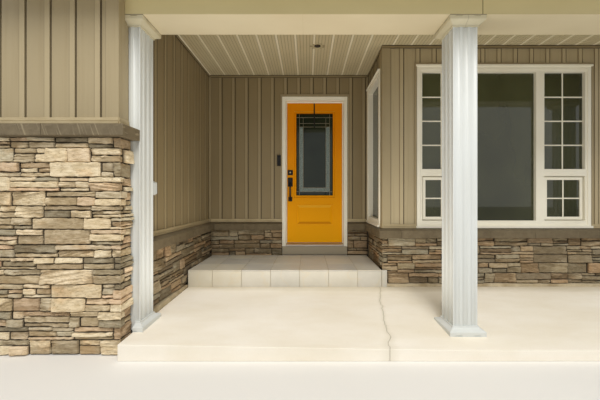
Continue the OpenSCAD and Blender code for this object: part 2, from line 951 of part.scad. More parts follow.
// Half profile of the column moulding: a bead on the shaft, an ogee out to a flat
// band. It grows from z = 0 at the shaft to z = height at the band.
function column_moulding(height) = concat(
    [[shaft_w / 2 + bead, 0], [shaft_w / 2 + bead, bead_h]],
    [for (i = [0 : curve_steps]) [
        shaft_w / 2 + bead + (cap_w / 2 - shaft_w / 2 - bead)
            * (1 - cos(180 * i / curve_steps)) / 2,
        bead_h + (height - band_top_h - bead_h) * i / curve_steps]],
    [[cap_w / 2, height]]);

// Vent slots through the flat band, two on each face that is named by its turn.
module vent_slots(z, turns) {
    for (turn = turns, side = [-1, 1])
        rotate(turn)
            box([side * cap_w / 4 - slot_w / 2, -cap_w / 2 - slack, z],
                [side * cap_w / 4 + slot_w / 2, -cap_w / 2 + slot_d, z + slot_h]);
}

module cap() {
    difference() {
        square_moulding(column_moulding(cap_h));
        vent_slots(cap_h - 2 * slot_h, [0 : 90 : 270]);
    }
}

// The same moulding upside down, with vent slots in its front.
module foot() {
    difference() {
        translate([0, 0, base_h]) mirror([0, 0, 1])
            square_moulding(column_moulding(base_h));
        vent_slots(slot_h / 2, [0]);
    }
}

// Height of the slab under the lowest corner of a base.
function foot_z(x) = slab_z(x + cap_w / 2, column_y - cap_w / 2);

module column_shaft(x) {
    low = foot_z(x) + base_h;
    translate([x, column_y, low]) linear_extrude(beam_z - cap_h - low) shaft_plan();
}

module column_cap(x) {
    translate([x, column_y, beam_z - cap_h]) cap();
}

module column_base(x) {
    difference() {
        translate([x, column_y, foot_z(x)]) foot();
        slab_body();
    }
}

// The half of a column that stands clear of the garage side wall.
module clear_half() {
    intersection() {
        children();
        box([left_x, column_y - cap_w, 0], [left_x + cap_w, column_y + cap_w, beam_z]);
    }
}

module pilaster() {
    color("white") clear_half() column_shaft(left_x);
}

module middle_column() {
    color("white") column_shaft(middle_x);
}

module end_column() {
    color("white") column_shaft(end_x);
}

module column_caps() {
    color("white") {
        clear_half() column_cap(left_x);
        column_cap(middle_x);
        column_cap(end_x);
    }
}

module column_bases() {
    color("white") {
        difference() {
            clear_half() column_base(left_x);
            garage_stone();
            garage_side_stone();
        }
        column_base(middle_x);
        column_base(end_x);
    }
}

// Ceiling panel along +X with grooves that run front to back.
module soffit(length, depth, first) {
    rib = 12;
    rib_d = 6;
    rotate([-90, 0, 0]) mirror([0, 1, 0]) linear_extrude(depth)
        polygon(concat([[0, soffit_t], [0, 0]],
            [for (s = [first : rib_pitch : length - rib]) each
                [[s, 0], [s, rib_d], [s + rib, rib_d], [s + rib, 0]]],
            [[length, 0], [length, soffit_t]]));
}

module alcove_ceiling() {
    color(beam_cream) difference() {
        translate([left_x, beam_back_y, ceiling_z])
            soffit(left_reach + right_reach, door_y - beam_back_y, rib_pitch);
        translate([lamp_x, lamp_y, ceiling_z - slack])
            cylinder(d = lamp_d, h = soffit_t + 2 * slack);
    }
}

module porch_ceiling() {
    color(beam_cream) translate([right_x, beam_back_y, ceiling_z])
        soffit(right_end - right_x, room_y - beam_back_y, rib_pitch / 2);
}

lamp_trim = 10;
lamp_trim_t = 3;
lamp_deep = 60;
// Round trim ring with a conical reflector and a flat lens at its end.
module ceiling_lamp() {
    r = lamp_d / 2;
    wall = 3;
    color("dimgray") translate([lamp_x, lamp_y, ceiling_z]) rotate_extrude()
        polygon([[r - 2 * wall, -lamp_trim_t], [r + lamp_trim, -lamp_trim_t],
            [r + lamp_trim, 0], [r, 0], [r, lamp_deep], [0, lamp_deep],
            [0, lamp_deep - wall], [r / 2, lamp_deep - wall]]);
}

module roof_boarding() {
    color("burlywood") roof_layer(0, deck_t);
}

module roof_covering() {
    color([0.3, 0.28, 0.26]) roof_layer(deck_t, deck_t + cover_t);
}

module eave_board() {
    top = under_roof(eave_y);
    color(beam_cream) intersection() {
        union() {
            box([garage_end_x, eave_y, top - fascia_h],
                [right_end, eave_y + siding_t, top]);
            box([garage_end_x, eave_y, top - fascia_h],
                [garage_end_x + siding_t, garage_y - post_proud, under_roof(garage_y)]);
            box([right_end - siding_t, eave_y, top - fascia_h],
                [right_end, beam_front_y, under_roof(beam_front_y)]);
        }
        below_roof();
    }
}

module eave_soffit() {
    low = under_roof(eave_y) - fascia_h + siding_t;
    color(beam_cream) {
        box([garage_end_x + siding_t, eave_y + siding_t, low],
            [right_end - siding_t, garage_y - post_proud, low + soffit_t]);
        box([left_x + post_proud, garage_y - post_proud, low],
            [right_end - siding_t, beam_front_y, low + soffit_t]);
    }
}

module roof_end_panel() {
    color(siding_tan) intersection() {
        union() {
            box([right_end - siding_t, beam_front_y, ceiling_z],
                [right_end, beam_back_y, under_roof(inside_y)]);
            box([right_end - siding_t, beam_back_y, ceiling_z + soffit_t],
                [right_end, room_core_y, under_roof(inside_y)]);
        }
        below_roof();
    }
}

porch_slab();
landing_step();
garage_front_wall();
garage_side_wall();
door_wall_left();
door_wall_right();
door_wall_over();
door_wall_under();
alcove_side_wall();
front_room_wall();
garage_front_siding();
garage_side_siding();
door_wall_siding();
alcove_side_siding();
front_room_siding();
siding_corner_posts();
garage_stone();
garage_side_stone();
door_wall_stone();
alcove_side_stone();
front_room_stone();
garage_ledge();
garage_side_ledge();
door_wall_ledge();
alcove_side_ledge();
front_room_ledge();
door_frame();
door_casing();
door_sill();
riser_board();
door_slab();
door_glass();
deadbolt();
door_handle();
door_hinges();
frame_hinge_leaves();
front_window_frame();
side_window_frame();
window_sashes();
window_glass();
doorbell();
porch_beam();
beam_cladding();
pilaster();
middle_column();
end_column();
column_caps();
column_bases();
alcove_ceiling();
porch_ceiling();
ceiling_lamp();
roof_boarding();
roof_covering();
eave_board();
eave_soffit();
roof_end_panel();
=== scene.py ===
import math

import bmesh
import bpy
import numpy as np
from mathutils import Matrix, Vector


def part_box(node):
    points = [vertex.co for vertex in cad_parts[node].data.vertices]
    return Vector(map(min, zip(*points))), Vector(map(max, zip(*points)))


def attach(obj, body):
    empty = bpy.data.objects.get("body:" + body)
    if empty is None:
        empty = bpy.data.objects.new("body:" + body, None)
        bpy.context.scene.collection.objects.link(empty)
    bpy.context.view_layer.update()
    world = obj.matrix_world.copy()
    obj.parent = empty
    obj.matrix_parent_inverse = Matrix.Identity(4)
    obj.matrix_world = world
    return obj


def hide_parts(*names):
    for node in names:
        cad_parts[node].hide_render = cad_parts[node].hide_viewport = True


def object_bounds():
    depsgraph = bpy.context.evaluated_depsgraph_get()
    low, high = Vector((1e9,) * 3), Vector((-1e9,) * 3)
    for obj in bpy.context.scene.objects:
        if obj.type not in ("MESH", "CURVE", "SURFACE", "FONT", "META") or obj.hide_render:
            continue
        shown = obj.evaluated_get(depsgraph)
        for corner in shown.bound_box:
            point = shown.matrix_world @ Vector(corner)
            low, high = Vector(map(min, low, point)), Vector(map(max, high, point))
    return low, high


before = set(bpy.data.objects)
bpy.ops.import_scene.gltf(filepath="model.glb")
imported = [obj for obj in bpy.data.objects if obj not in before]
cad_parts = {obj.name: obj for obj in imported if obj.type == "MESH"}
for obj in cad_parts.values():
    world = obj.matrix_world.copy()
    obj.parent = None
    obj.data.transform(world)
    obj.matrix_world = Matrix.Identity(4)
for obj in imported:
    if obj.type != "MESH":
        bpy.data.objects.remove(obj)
cad_low, cad_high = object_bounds()


# Stage
# A level camera stands in front of the door, a little to its left, at eye height.
# The floor is plain and pale and the sky is white. One wide soft lamp hangs high in
# front of the porch, and a weak one stands for the light that the slab throws back.

def paint(red, green, blue):
    """A colour from screen values of 0 to 255, as the shader takes it."""
    linear = []
    for value in (red, green, blue):
        c = value / 255
        linear.append(c / 12.92 if c <= 0.04045 else ((c + 0.055) / 1.055) ** 2.4)
    return (*linear, 1.0)


def put(tree, kind, inputs, **fields):
    """A shader node with its fields set and its inputs set or joined."""
    node = tree.nodes.new("ShaderNode" + kind)
    for field, value in fields.items():
        setattr(node, field, value)
    for socket, value in inputs.items():
        if isinstance(value, bpy.types.NodeSocket):
            tree.links.new(value, node.inputs[socket])
        else:
            node.inputs[socket].default_value = value
    return node


def maths(tree, operation, first, second=0.0):
    return put(tree, "Math", {0: first, 1: second}, operation=operation).outputs[0]


def spread(tree, value, low, high, to_low=0.0, to_high=1.0):
    """A value between low and high, brought to another range and held there."""
    return put(tree, "MapRange", {"Value": value, "From Min": low, "From Max": high,
                                  "To Min": to_low, "To Max": to_high}).outputs[0]


class Coat:
    """A finish: a shader whose colour is laid on coat by coat and pressed with fine forms."""

    def __init__(self, name, roughness, metallic=0.0):
        self.material = bpy.data.materials.new(name)
        self.material.use_nodes = True
        self.tree = self.material.node_tree
        self.shader = self.tree.nodes["Principled BSDF"]
        self.shader.inputs["Roughness"].default_value = roughness
        self.shader.inputs["Metallic"].default_value = metallic

    def maths(self, operation, first, second=0.0):
        return maths(self.tree, operation, first, second)

    def spread(self, value, *span):
        return spread(self.tree, value, *span)

    def apart(self, first, second):
        """How far two values lie apart."""
        return self.maths("ABSOLUTE", self.maths("SUBTRACT", first, second))

    def place(self, stretch=(1.0, 1.0, 1.0), turn=(0.0, 0.0, 0.0), kind="POINT"):
        """The place on the object, in metres, turned, and stretched along its axes."""
        here = put(self.tree, "TexCoord", {}).outputs["Object"]
        return put(self.tree, "Mapping", {"Vector": here, "Scale": stretch, "Rotation": turn},
                   vector_type=kind).outputs[0]

    def along(self, axis):
        """The place along one axis, in metres."""
        return put(self.tree, "SeparateXYZ", {0: self.place()}).outputs[axis]

    def noise(self, scale, detail=4.0, rough=0.55, stretch=(1.0, 1.0, 1.0), twist=0.0):
        """Soft random values from 0 to 1."""
        return put(self.tree, "TexNoise", {"Vector": self.place(stretch), "Scale": scale, "Detail": detail,
                                           "Roughness": rough, "Distortion": twist}).outputs["Fac"]

    def mark(self, name):
        """The value of this name that the mesh holds at each point."""
        return put(self.tree, "Attribute", {}, attribute_name=name).outputs["Fac"]

    def base(self, value, span, first, second):
        """Two colours mixed by a value, which runs over the span."""
        self.colour = paint(*first)
        self.over(value, span, second)

    def over(self, value, span, colour, mode="MIX"):
        """A colour laid over the last by a value, brought over the span to an amount."""
        amount = self.spread(value, *span) if span else value
        top = paint(*colour) if isinstance(colour, tuple) else colour
        self.colour = put(self.tree, "Mix", {0: amount, 6: self.colour, 7: top}, data_type="RGBA",
                          blend_type=mode).outputs[2]
        self.tree.links.new(self.colour, self.shader.inputs["Base Color"])

    def dull(self, value, low, high):
        """Lets the roughness follow a value between two limits."""
        self.tree.links.new(self.spread(value, 0.3, 0.7, low, high), self.shader.inputs["Roughness"])

    def press(self, height, depth, strength=1.0):
        """Presses a height into the surface, on top of what is pressed there already."""
        inputs = {"Height": height, "Distance": depth, "Strength": strength}
        if self.shader.inputs["Normal"].links:
            inputs["Normal"] = self.shader.inputs["Normal"].links[0].from_socket
        bump = put(self.tree, "Bump", inputs)
        self.tree.links.new(bump.outputs[0], self.shader.inputs["Normal"])


def add_object(name, data):
    thing = bpy.data.objects.new(name, data)
    bpy.context.collection.objects.link(thing)
    return thing


def mesh_piece(name, points, faces):
    mesh = bpy.data.meshes.new(name)
    mesh.from_pydata([tuple(p) for p in points], [], [tuple(f) for f in faces])
    mesh.update()
    return add_object(name, mesh)


def area_lamp(name, energy, colour, place, turn, **form):
    lamp = bpy.data.lights.new(name, "AREA")
    lamp.energy = energy
    lamp.color = colour
    for field, value in form.items():
        setattr(lamp, field, value)
    holder = add_object(name, lamp)
    holder.location = place
    holder.rotation_euler = turn
    return holder


eye = bpy.data.cameras.new("eye")
eye.lens = 17.28
eye.sensor_width = 36.0
eye.shift_x = -0.0125
eye.shift_y = -0.005
viewer = add_object("viewer", eye)
viewer.location = (-0.103, -3.237, 1.155)
viewer.rotation_euler = (math.radians(90), 0, 0)
bpy.context.scene.camera = viewer
bpy.context.scene.view_settings.view_transform = "Standard"

floor_reach = 30.0
floor = mesh_piece("studio_floor", [(a * floor_reach, b * floor_reach, 0)
                                    for a, b in ((-1, -1), (1, -1), (1, 1), (-1, 1))], [(0, 1, 2, 3)])
floor_paint = Coat("studio_floor", 0.9)
floor_paint.base(floor_paint.noise(0.6), None, (238, 236, 232), (234, 232, 227))
floor.data.materials.append(floor_paint.material)

sky_glow = 0.42
world = bpy.data.worlds.new("sky")
bpy.context.scene.world = world
world.use_nodes = True
sky = world.node_tree
rays = put(sky, "LightPath", {}).outputs
mirrored = maths(sky, "MAXIMUM", rays["Is Glossy Ray"], rays["Is Transmission Ray"])
seen = maths(sky, "MAXIMUM", rays["Is Camera Ray"], mirrored)
sky_light = sky.nodes["Background"]
sky_light.inputs["Color"].default_value = (1.0, 1.0, 1.0, 1.0)
sky.links.new(spread(sky, seen, 0.0, 1.0, sky_glow, 1.0), sky_light.inputs["Strength"])

lamp_place = Vector((0.3, -6.3, 8.4))
lamp_aim = Vector((0.4, 0.0, 1.0)) - lamp_place
area_lamp("soft_lamp", 690, (1.0, 0.98, 0.94), lamp_place, lamp_aim.to_track_quat("-Z", "Y").to_euler(),
          shape="DISK", size=4.5)
bounce = area_lamp("floor_bounce", 13, (1.0, 0.95, 0.87), (-0.2, -0.8, 0.2), (math.pi - 0.15, 0, 0),
                   shape="RECTANGLE", size=1.8, size_y=0.8)
bounce.visible_camera = False
bounce.visible_glossy = False


# Porch slab
# One slab of poured concrete, brushed while wet and falling gently to its front edge.
# It is stained where water stands and painted darker along the wall as painted shade. A thin crack runs from
# the landing's corner to the front.

def dress(coat, *names, edge=0.0):
    """Gives CAD nodes their finish and, where edge is set, a rounded edge of that width."""
    for name in names:
        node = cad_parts[name]
        for material_slot in node.material_slots:
            material_slot.material = coat.material
        if edge:
            weld = node.modifiers.new("weld", "WELD")
            weld.merge_threshold = 0.00002
            round_off = node.modifiers.new("edge", "BEVEL")
            round_off.width = edge
            round_off.segments = 2
            round_off.limit_method = "ANGLE"
            round_off.angle_limit = math.radians(40)
            round_off.harden_normals = True


concrete = Coat("concrete", 0.85)
stains = concrete.noise(1.7, 5.0, 0.6, (0.7, 1.6, 1.0))
grit = concrete.noise(140.0, 3.0, 0.7)
concrete.base(stains, (0.35, 0.7), (252, 246, 234), (240, 231, 212))
concrete.over(grit, (0.55, 0.75, 0.0, 0.25), (204, 192, 168))
forward = concrete.along("Y")
wander = concrete.noise(3.2, 6.0, 0.65, (0.0, 1.0, 0.0))
crack_line = concrete.maths("ADD", concrete.maths("MULTIPLY", forward, 0.173),
                            concrete.spread(wander, 0.25, 0.75, 0.645, 0.735))
crack_gap = concrete.apart(concrete.along("X"), crack_line)
crack = concrete.spread(crack_gap, 0.0008, 0.004, 1.0, 0.0)
stain_reach = concrete.spread(forward, -1.2, -0.9, 0.075, 0.03)
# Darker along the wall, mottled by the stains: painted shade.
wall_shade = concrete.maths("ADD", forward, concrete.maths("MULTIPLY", stains, 0.12))
concrete.over(wall_shade, (-0.10, 0.04, 0.0, 0.65), (186, 172, 142))
concrete.over(concrete.maths("DIVIDE", crack_gap, stain_reach), (0.0, 1.0, 0.3, 0.0), (206, 198, 172))
concrete.over(crack, (0.0, 1.0, 0.0, 0.4), (150, 138, 114))
concrete.press(grit, 0.0006)
concrete.press(concrete.noise(1.0, 3.0, stretch=(6.0, 160.0, 6.0)), 0.0008, 0.6)
concrete.press(crack, -0.003)
dress(concrete, "porch_slab", edge=0.006)


# Landing
# A raised block in front of the door, faced with pale honed stone tiles about 325 mm
# wide on top and in front, on a thin bed with sanded joints. A cut strip of the same
# stone closes its right end.

def block(one, other, cut):
    """Points and faces of a block between two corners, its edges cut off at 45 degrees."""
    low, high = np.minimum(one, other), np.maximum(one, other)
    points, faces = [], []
    for corner in range(8):
        ends = [(corner >> axis) & 1 for axis in range(3)]
        for kept in range(3):
            points.append([high[a] - cut * (a != kept) if ends[a] else low[a] + cut * (a != kept)
                           for a in range(3)])
    for axis in range(3):
        a, b = [k for k in range(3) if k != axis]
        for end in (0, 1):
            ring = [end << axis, end << axis | 1 << a, end << axis | 1 << a | 1 << b,
                    end << axis | 1 << b]
            faces.append([3 * corner + axis for corner in ring])
        for here in (0, 1 << a, 1 << b, 1 << a | 1 << b):
            there = here | 1 << axis
            faces.append([3 * here + a, 3 * there + a, 3 * there + b, 3 * here + b])
    faces += [[3 * corner, 3 * corner + 1, 3 * corner + 2] for corner in range(8)]
    return points, faces


def fix(piece, coat, body="porch", stands_for=()):
    """Gives a piece its finish and its body, and hides the CAD nodes it stands for."""
    piece.data.materials.append(coat.material)
    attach(piece, body)
    if stands_for:
        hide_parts(*stands_for)


def write_marks(piece, name, values):
    """Stores a value at each point of a piece, for its finish to read."""
    piece.data.attributes.new(name, "FLOAT", "POINT").data.foreach_set("value", values)


def assemble(name, shells, coat, body="porch", stands_for=(), tones=None):
    """One piece from many shells; tones gives each shell its own random tone."""
    points, faces, tone_of = [], [], []
    for number, (shell_points, shell_faces) in enumerate(shells):
        start = len(points)
        points += shell_points
        faces += [tuple(start + i for i in face) for face in shell_faces]
        if tones is not None:
            tone_of += [tones[number]] * len(shell_points)
    piece = mesh_piece(name, points, faces)
    shape = bmesh.new()
    shape.from_mesh(piece.data)
    bmesh.ops.recalc_face_normals(shape, faces=shape.faces)
    shape.to_mesh(piece.data)
    shape.free()
    if tones is not None:
        write_marks(piece, "tone", tone_of)
    fix(piece, coat, body, stands_for)


def grained_coat(name, roughness, pale, dark, depth, scale, detail=4.0, rough=0.55,
                 stretch=(1.0, 1.0, 1.0), span=None, metallic=0.0):
    """A coat whose grain shows in its colour and is pressed into it as well."""
    coat = Coat(name, roughness, metallic)
    coat.grain = coat.noise(scale, detail, rough, stretch)
    coat.base(coat.grain, span, pale, dark)
    coat.press(coat.grain, depth)
    return coat


limestone = Coat("honed_limestone", 0.4)
clouds = limestone.noise(3.5, 6.0, 0.6)
veins = put(limestone.tree, "TexWave", {"Vector": limestone.place((1.0, 1.0, 1.6)), "Scale": 1.1,
                                        "Distortion": 14.0, "Detail": 4.0, "Detail Scale": 1.3})
limestone.base(limestone.mark("tone"), (0.0, 1.0), (204, 197, 178), (186, 183, 174))
limestone.over(clouds, (0.4, 0.75, 0.0, 0.6), (212, 207, 196))
limestone.over(veins.outputs["Fac"], (0.95, 1.0, 0.0, 0.22), (204, 188, 156))
limestone.over(limestone.noise(2.4), (0.6, 0.8, 0.0, 0.3), (204, 190, 156))
limestone.dull(clouds, 0.35, 0.55)
limestone.press(clouds, 0.0006, 0.5)

landing_low, landing_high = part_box("landing_step")
slab_low, slab_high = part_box("porch_slab")
landing_front = -0.018
landing_right = 0.727
landing_foot = 0.14
tile_w = 0.325
tile_t = 0.010
half_joint = 0.002
first_joint = 0.133
least_tile = 0.05
tile_cut = 0.0012
strip_cut = 0.002
row_start = 0.27
joints = np.arange(first_joint - 8 * tile_w, landing_right - least_tile, tile_w)
tile_edges = [landing_low.x, *(x for x in joints if x > landing_low.x + least_tile), landing_right]
row_edges = [landing_front, row_start, row_start + tile_w, landing_high.y]
tile_foot = landing_high.z - tile_t
tiles = []
for left, right in zip(tile_edges, tile_edges[1:]):
    left, right = left + half_joint, right - half_joint
    for near, far in zip(row_edges, row_edges[1:]):
        near += half_joint * (near > 0)
        tiles.append(block((left, near, tile_foot), (right, far - half_joint, landing_high.z), tile_cut))
    tiles.append(block((left, landing_front, landing_foot),
                       (right, landing_front + tile_t, tile_foot - half_joint), tile_cut))
tiles.append(block((landing_right + half_joint, landing_low.y, landing_foot),
                   (landing_high.x, 0.0, landing_high.z), strip_cut))
assemble("landing_tiles", tiles, limestone, stands_for=("landing_step",),
         tones=np.random.default_rng(11).random(len(tiles)))

grout = grained_coat("sanded_grout", 0.9, (186, 174, 146), (158, 146, 120), 0.0005, 260.0, 2.0)
bed_top = landing_high.z - tile_t * 0.3
assemble("landing_bed", [block(low, high, 0.0005) for low, high in (
    ((landing_low.x, 0.0005, 0.0), (landing_right, landing_high.y, bed_top)),
    ((landing_low.x, landing_front + tile_t * 0.7, landing_foot), (landing_right, 0.01, bed_top)),
    ((landing_right, landing_front, landing_foot), (landing_high.x, 0.0, landing_high.z - 0.002)))],
    grout)


# House walls
# Framed walls stand behind all the cladding. Their backs are sheathing and painted
# plasterboard, seen only from inside and at the plain cut ends.
plaster = Coat("wall_board", 0.85)
plaster.base(plaster.noise(1.3, 3.0), None, (226, 222, 212), (216, 211, 199))
plaster.press(plaster.noise(160.0, 2.0), 0.0004)
dress(plaster, "garage_front_wall", "garage_side_wall", "door_wall_left", "door_wall_right",
      "door_wall_over", "door_wall_under", "alcove_side_wall", "front_room_wall")


# Siding
# Upright khaki panels with a raised batten beside each groove, nailed to the framing.
# They stand in a channel over the ledge, meet folded posts at the corners and run up
# into a channel under the ceiling.
siding_pitch = 0.186
batten_w = 0.042
groove_w = 0.012


def khaki_coat(name, painted_light, axis="X", first_groove=None, towards=1, far_shade=0.0, ends=()):
    """Khaki coating, paler or darker on each wall by painted light; painted shade lines its grooves and
    batten steps.

    The grooves follow one another along the axis, forwards or, where towards is -1, backwards.
    """
    coat = Coat(name, 0.5)
    streaks = coat.noise(1.0, 4.0, 0.6, (26.0, 26.0, 0.9))
    fade = coat.noise(0.9, 3.0)
    # A lit and a shaded tone, mixed for each wall: painted light and shade.
    coat.base(fade, (0.3, 0.7), (188, 173, 140), (178, 163, 130))
    lit_khaki = coat.colour
    coat.base(fade, (0.3, 0.7), (146, 130, 97), (136, 120, 87))
    coat.over(painted_light, None, lit_khaki)
    coat.over(streaks, (0.5, 0.75, 0.0, 0.3), (140, 123, 88))
    if first_groove is not None:
        across = coat.along(axis)
        from_groove = coat.maths("MULTIPLY", coat.maths("SUBTRACT", across, first_groove), towards)
        from_batten = coat.maths("ADD", from_groove, batten_w)
        inside = coat.maths("FLOORED_MODULO", from_batten, siding_pitch)
        # A painted highlight on each batten's face.
        coat.over(inside, (batten_w, batten_w + 0.001, 0.25, 0.0), (198, 182, 146))
        # A painted shade line along each batten's step, and a darker one in each groove.
        from_step = coat.maths("MINIMUM", inside, coat.maths("SUBTRACT", siding_pitch, inside))
        coat.over(from_step, (0.002, 0.006, 0.55, 0.0), (96, 81, 52))
        from_middle = coat.apart(inside, batten_w + groove_w / 2)
        coat.over(from_middle, (0.0055, 0.0065, 0.85, 0.0), (66, 55, 33))
        # Painted shade on the board just past each groove, as much as far_shade gives.
        beyond = coat.maths("SUBTRACT", inside, batten_w + groove_w)
        reach = coat.maths("MULTIPLY", coat.spread(beyond, -0.001, 0.0),
                           coat.spread(beyond, 0.010, 0.016, 1.0, 0.0))
        coat.over(reach, (0.0, 1.0, 0.0, far_shade), (66, 55, 33))
        # A painted shadow line where the panels end at a post or corner.
        for end in ends:
            coat.over(coat.apart(across, end), (0.006, 0.012, 0.7, 0.0), (80, 67, 42))
    coat.dull(streaks, 0.45, 0.6)
    coat.press(coat.noise(1.0, 3.0, stretch=(900.0, 900.0, 26.0)), 0.00025, 0.5)
    coat.press(streaks, 0.0006, 0.5)
    return coat


def soft_coat(name, roughness, pale, dark, scale=1.2, detail=4.0, stretch=(1.0, 1.0, 1.0), peel=300.0):
    """A coat of two near tones that drift into each other, with a fine peel."""
    coat = Coat(name, roughness)
    coat.drift = coat.noise(scale, detail, stretch=stretch)
    coat.base(coat.drift, (0.3, 0.7), pale, dark)
    if peel:
        coat.press(coat.noise(peel, 2.0), 0.0002, 0.5)
    return coat


garage_siding_low, garage_siding_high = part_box("garage_front_siding")
room_siding_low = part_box("front_room_siding")[0]
alcove_siding_low, alcove_siding_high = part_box("alcove_side_siding")
left_siding_low, left_siding_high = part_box("garage_side_siding")
door_siding_low, door_siding_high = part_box("door_wall_siding")
khaki = khaki_coat("khaki_siding", 0.5)
dress(khaki, "siding_corner_posts", "roof_end_panel", edge=0.002)
# The second value of each wall sets how much of the lit tone it takes: painted light and shade.
for name, *look in (
        ("garage_front_siding", 0.5, "X", garage_siding_low.x + 0.068, 1, 0.0, (garage_siding_high.x,)),
        ("garage_side_siding", 0.1, "Y", left_siding_low.y + 0.057, 1, 0.7, (left_siding_high.y - 0.02,)),
        ("door_wall_siding", 0.0, "X", door_siding_low.x + 0.172, 1, 0.0,
         (door_siding_low.x, door_siding_high.x)),
        ("alcove_side_siding", 0.2, "Y", alcove_siding_high.y - 0.138, -1, 0.4),
        ("front_room_siding", 0.9, "X", room_siding_low.x + 0.147, 1, 0.0, (room_siding_low.x,))):
    dress(khaki_coat(name + "_khaki", *look), name, edge=0.0015)

ceiling_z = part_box("alcove_ceiling")[0].z
beam_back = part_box("beam_cladding")[1].y
room_face, door_face, garage_face = room_siding_low.y, door_siding_low.y, garage_siding_low.y
left_face, alcove_face = left_siding_high.x, alcove_siding_low.x
end_x = cad_high.x
head_h = 0.036
head_t = 0.007
head_top = ceiling_z - 0.004
garage_head_top = ceiling_z - 0.11
channel_cut = 0.0012
# Head channels: a darker copy of the khaki, with dark lines at their top and foot: painted shade and painted
# shadow.
shaded_khaki = soft_coat("shaded_khaki", 0.5, (150, 134, 100), (140, 124, 91), 0.9, 3.0)
height = shaded_khaki.along("Z")
for edge, reach in ((head_top, 0.011), (head_top - head_h, 0.007)):
    shaded_khaki.over(shaded_khaki.apart(height, edge), (0.7 * reach, reach, 0.8, 0.0), (62, 50, 29))
heads = []
for (x0, y0), (x1, y1), top in (
        ((left_face, beam_back), (left_face + head_t, door_face), head_top),
        ((left_face + head_t, door_face - head_t), (alcove_face - head_t, door_face), head_top),
        ((alcove_face - head_t, room_face), (alcove_face, door_face), head_top),
        ((alcove_face - head_t, room_face - head_t), (end_x, room_face), head_top),
        ((cad_low.x, garage_face - head_t), (left_face, garage_face), garage_head_top)):
    heads.append(block((x0, y0, top - head_h), (x1, y1, top), channel_cut))
assemble("siding_head_channels", heads, shaded_khaki)

casing_low, casing_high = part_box("door_casing")
window_low, window_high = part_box("front_window_frame")
side_window_low, side_window_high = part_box("side_window_frame")
low_foot_z = door_siding_low.z
tall_foot_z = garage_siding_low.z
post_proud = 0.006
foot_steps = ((0.016, 0.0, 0.017), (0.0075, 0.015, 0.023), (0.011, 0.021, 0.046))
foot_cut = 0.0015
feet = []
for (x0, y0), (x1, y1), (out_x, out_y), z in (
        ((cad_low.x, garage_face), (left_face + post_proud, garage_face), (0, -1), tall_foot_z),
        ((left_face, garage_face - post_proud), (left_face, left_siding_low.y), (1, 0), tall_foot_z),
        ((left_face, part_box("pilaster")[1].y), (left_face, door_face), (1, 0), low_foot_z),
        ((left_face, door_face), (casing_low.x, door_face), (0, -1), low_foot_z),
        ((casing_high.x, door_face), (alcove_face, door_face), (0, -1), low_foot_z),
        ((alcove_face, side_window_high.y), (alcove_face, door_face), (-1, 0), low_foot_z),
        ((alcove_face, room_face - post_proud), (alcove_face, side_window_low.y), (-1, 0), low_foot_z),
        ((alcove_face - post_proud, room_face), (window_low.x, room_face), (0, -1), low_foot_z),
        ((window_high.x, room_face), (end_x, room_face), (0, -1), low_foot_z)):
    for proud, foot, top in foot_steps:
        feet.append(block((x0, y0, z + foot), (x1 + out_x * proud, y1 + out_y * proud, z + top), foot_cut))
pale_khaki = soft_coat("pale_khaki", 0.5, (190, 174, 138), (172, 155, 118), 7.0, stretch=(1.0, 1.0, 3.0))
assemble("siding_foot_channels", feet, pale_khaki)

window_inset = 0.010
rim_w = 0.024
rim_cut = 0.002
side_proud = 0.009
head_proud = 0.012
window_head = 0.022
fold_w = 0.022
fold_top = ceiling_z - 0.04
window_top = window_high.z
side_edge = side_window_high.y - window_inset
side_stop = side_edge + rim_w
rims = []
for left, right, face, top, gap, head in (
        (casing_low.x, casing_high.x, door_face, casing_high.z, 0.003, 0.034),
        (window_low.x + window_inset, window_high.x - window_inset, room_face, window_top, 0.002,
         window_head)):
    for near, far in ((left - rim_w, left - gap), (right + gap, right + rim_w)):
        rims.append(block((near, face - side_proud, low_foot_z), (far, face, top), rim_cut))
    rims.append(block((left - rim_w, face - head_proud, top + gap), (right + rim_w, face, top + head),
                      rim_cut))
rims += [block(low, high, rim_cut) for low, high in (
    ((alcove_face - side_proud, side_edge + 0.002, low_foot_z), (alcove_face, side_stop, window_top)),
    ((alcove_face - head_proud, side_window_low.y, window_top + 0.002),
     (alcove_face, side_stop, window_top + window_head)),
    ((left_face, door_face - fold_w, low_foot_z), (left_face + fold_w, door_face, fold_top)),
    ((alcove_face - fold_w, door_face - fold_w, low_foot_z), (alcove_face, door_face, fold_top)))]
assemble("siding_edge_channels", rims, khaki)


# Stonework
# Cast ledgestone veneer: flat split stones of cream, tan, grey and rust, 25 to 110 mm
# high, laid dry in mixed courses on a dark mortar bed. Corner stones fold round both
# outer corners, and a pale mortar foot runs along the slab.

def lattice(rng, u, v, u_size, v_size):
    """Smooth random values from 0 to 1 over the points u, v."""
    i, j = np.floor(u / u_size), np.floor(v / v_size)
    f, g = u / u_size - i, v / v_size - j
    f, g = f * f * (3 - 2 * f), g * g * (3 - 2 * g)
    i = (i - i.min()).astype(int)
    j = (j - j.min()).astype(int)
    values = rng.random((i.max() + 2, j.max() + 2))
    low = values[i, j] * (1 - f) + values[i + 1, j] * f
    high = values[i, j + 1] * (1 - f) + values[i + 1, j + 1] * f
    return low * (1 - g) + high * g


layer_patterns = ((1.0,), (1.0,), (0.36, 0.64), (0.62, 0.38), (0.5, 0.5), (0.3, 0.3, 0.4),
                  (0.24, 0.46, 0.3))
course_heights = (0.084, 0.118)
stone_lengths = (0.15, 0.40)
longest_stone = 0.42
least_rest = 0.09
short_returns, long_returns = (0.07, 0.10), (0.16, 0.26)
least_split = 0.2
split_share = 0.45
sliver = 0.002


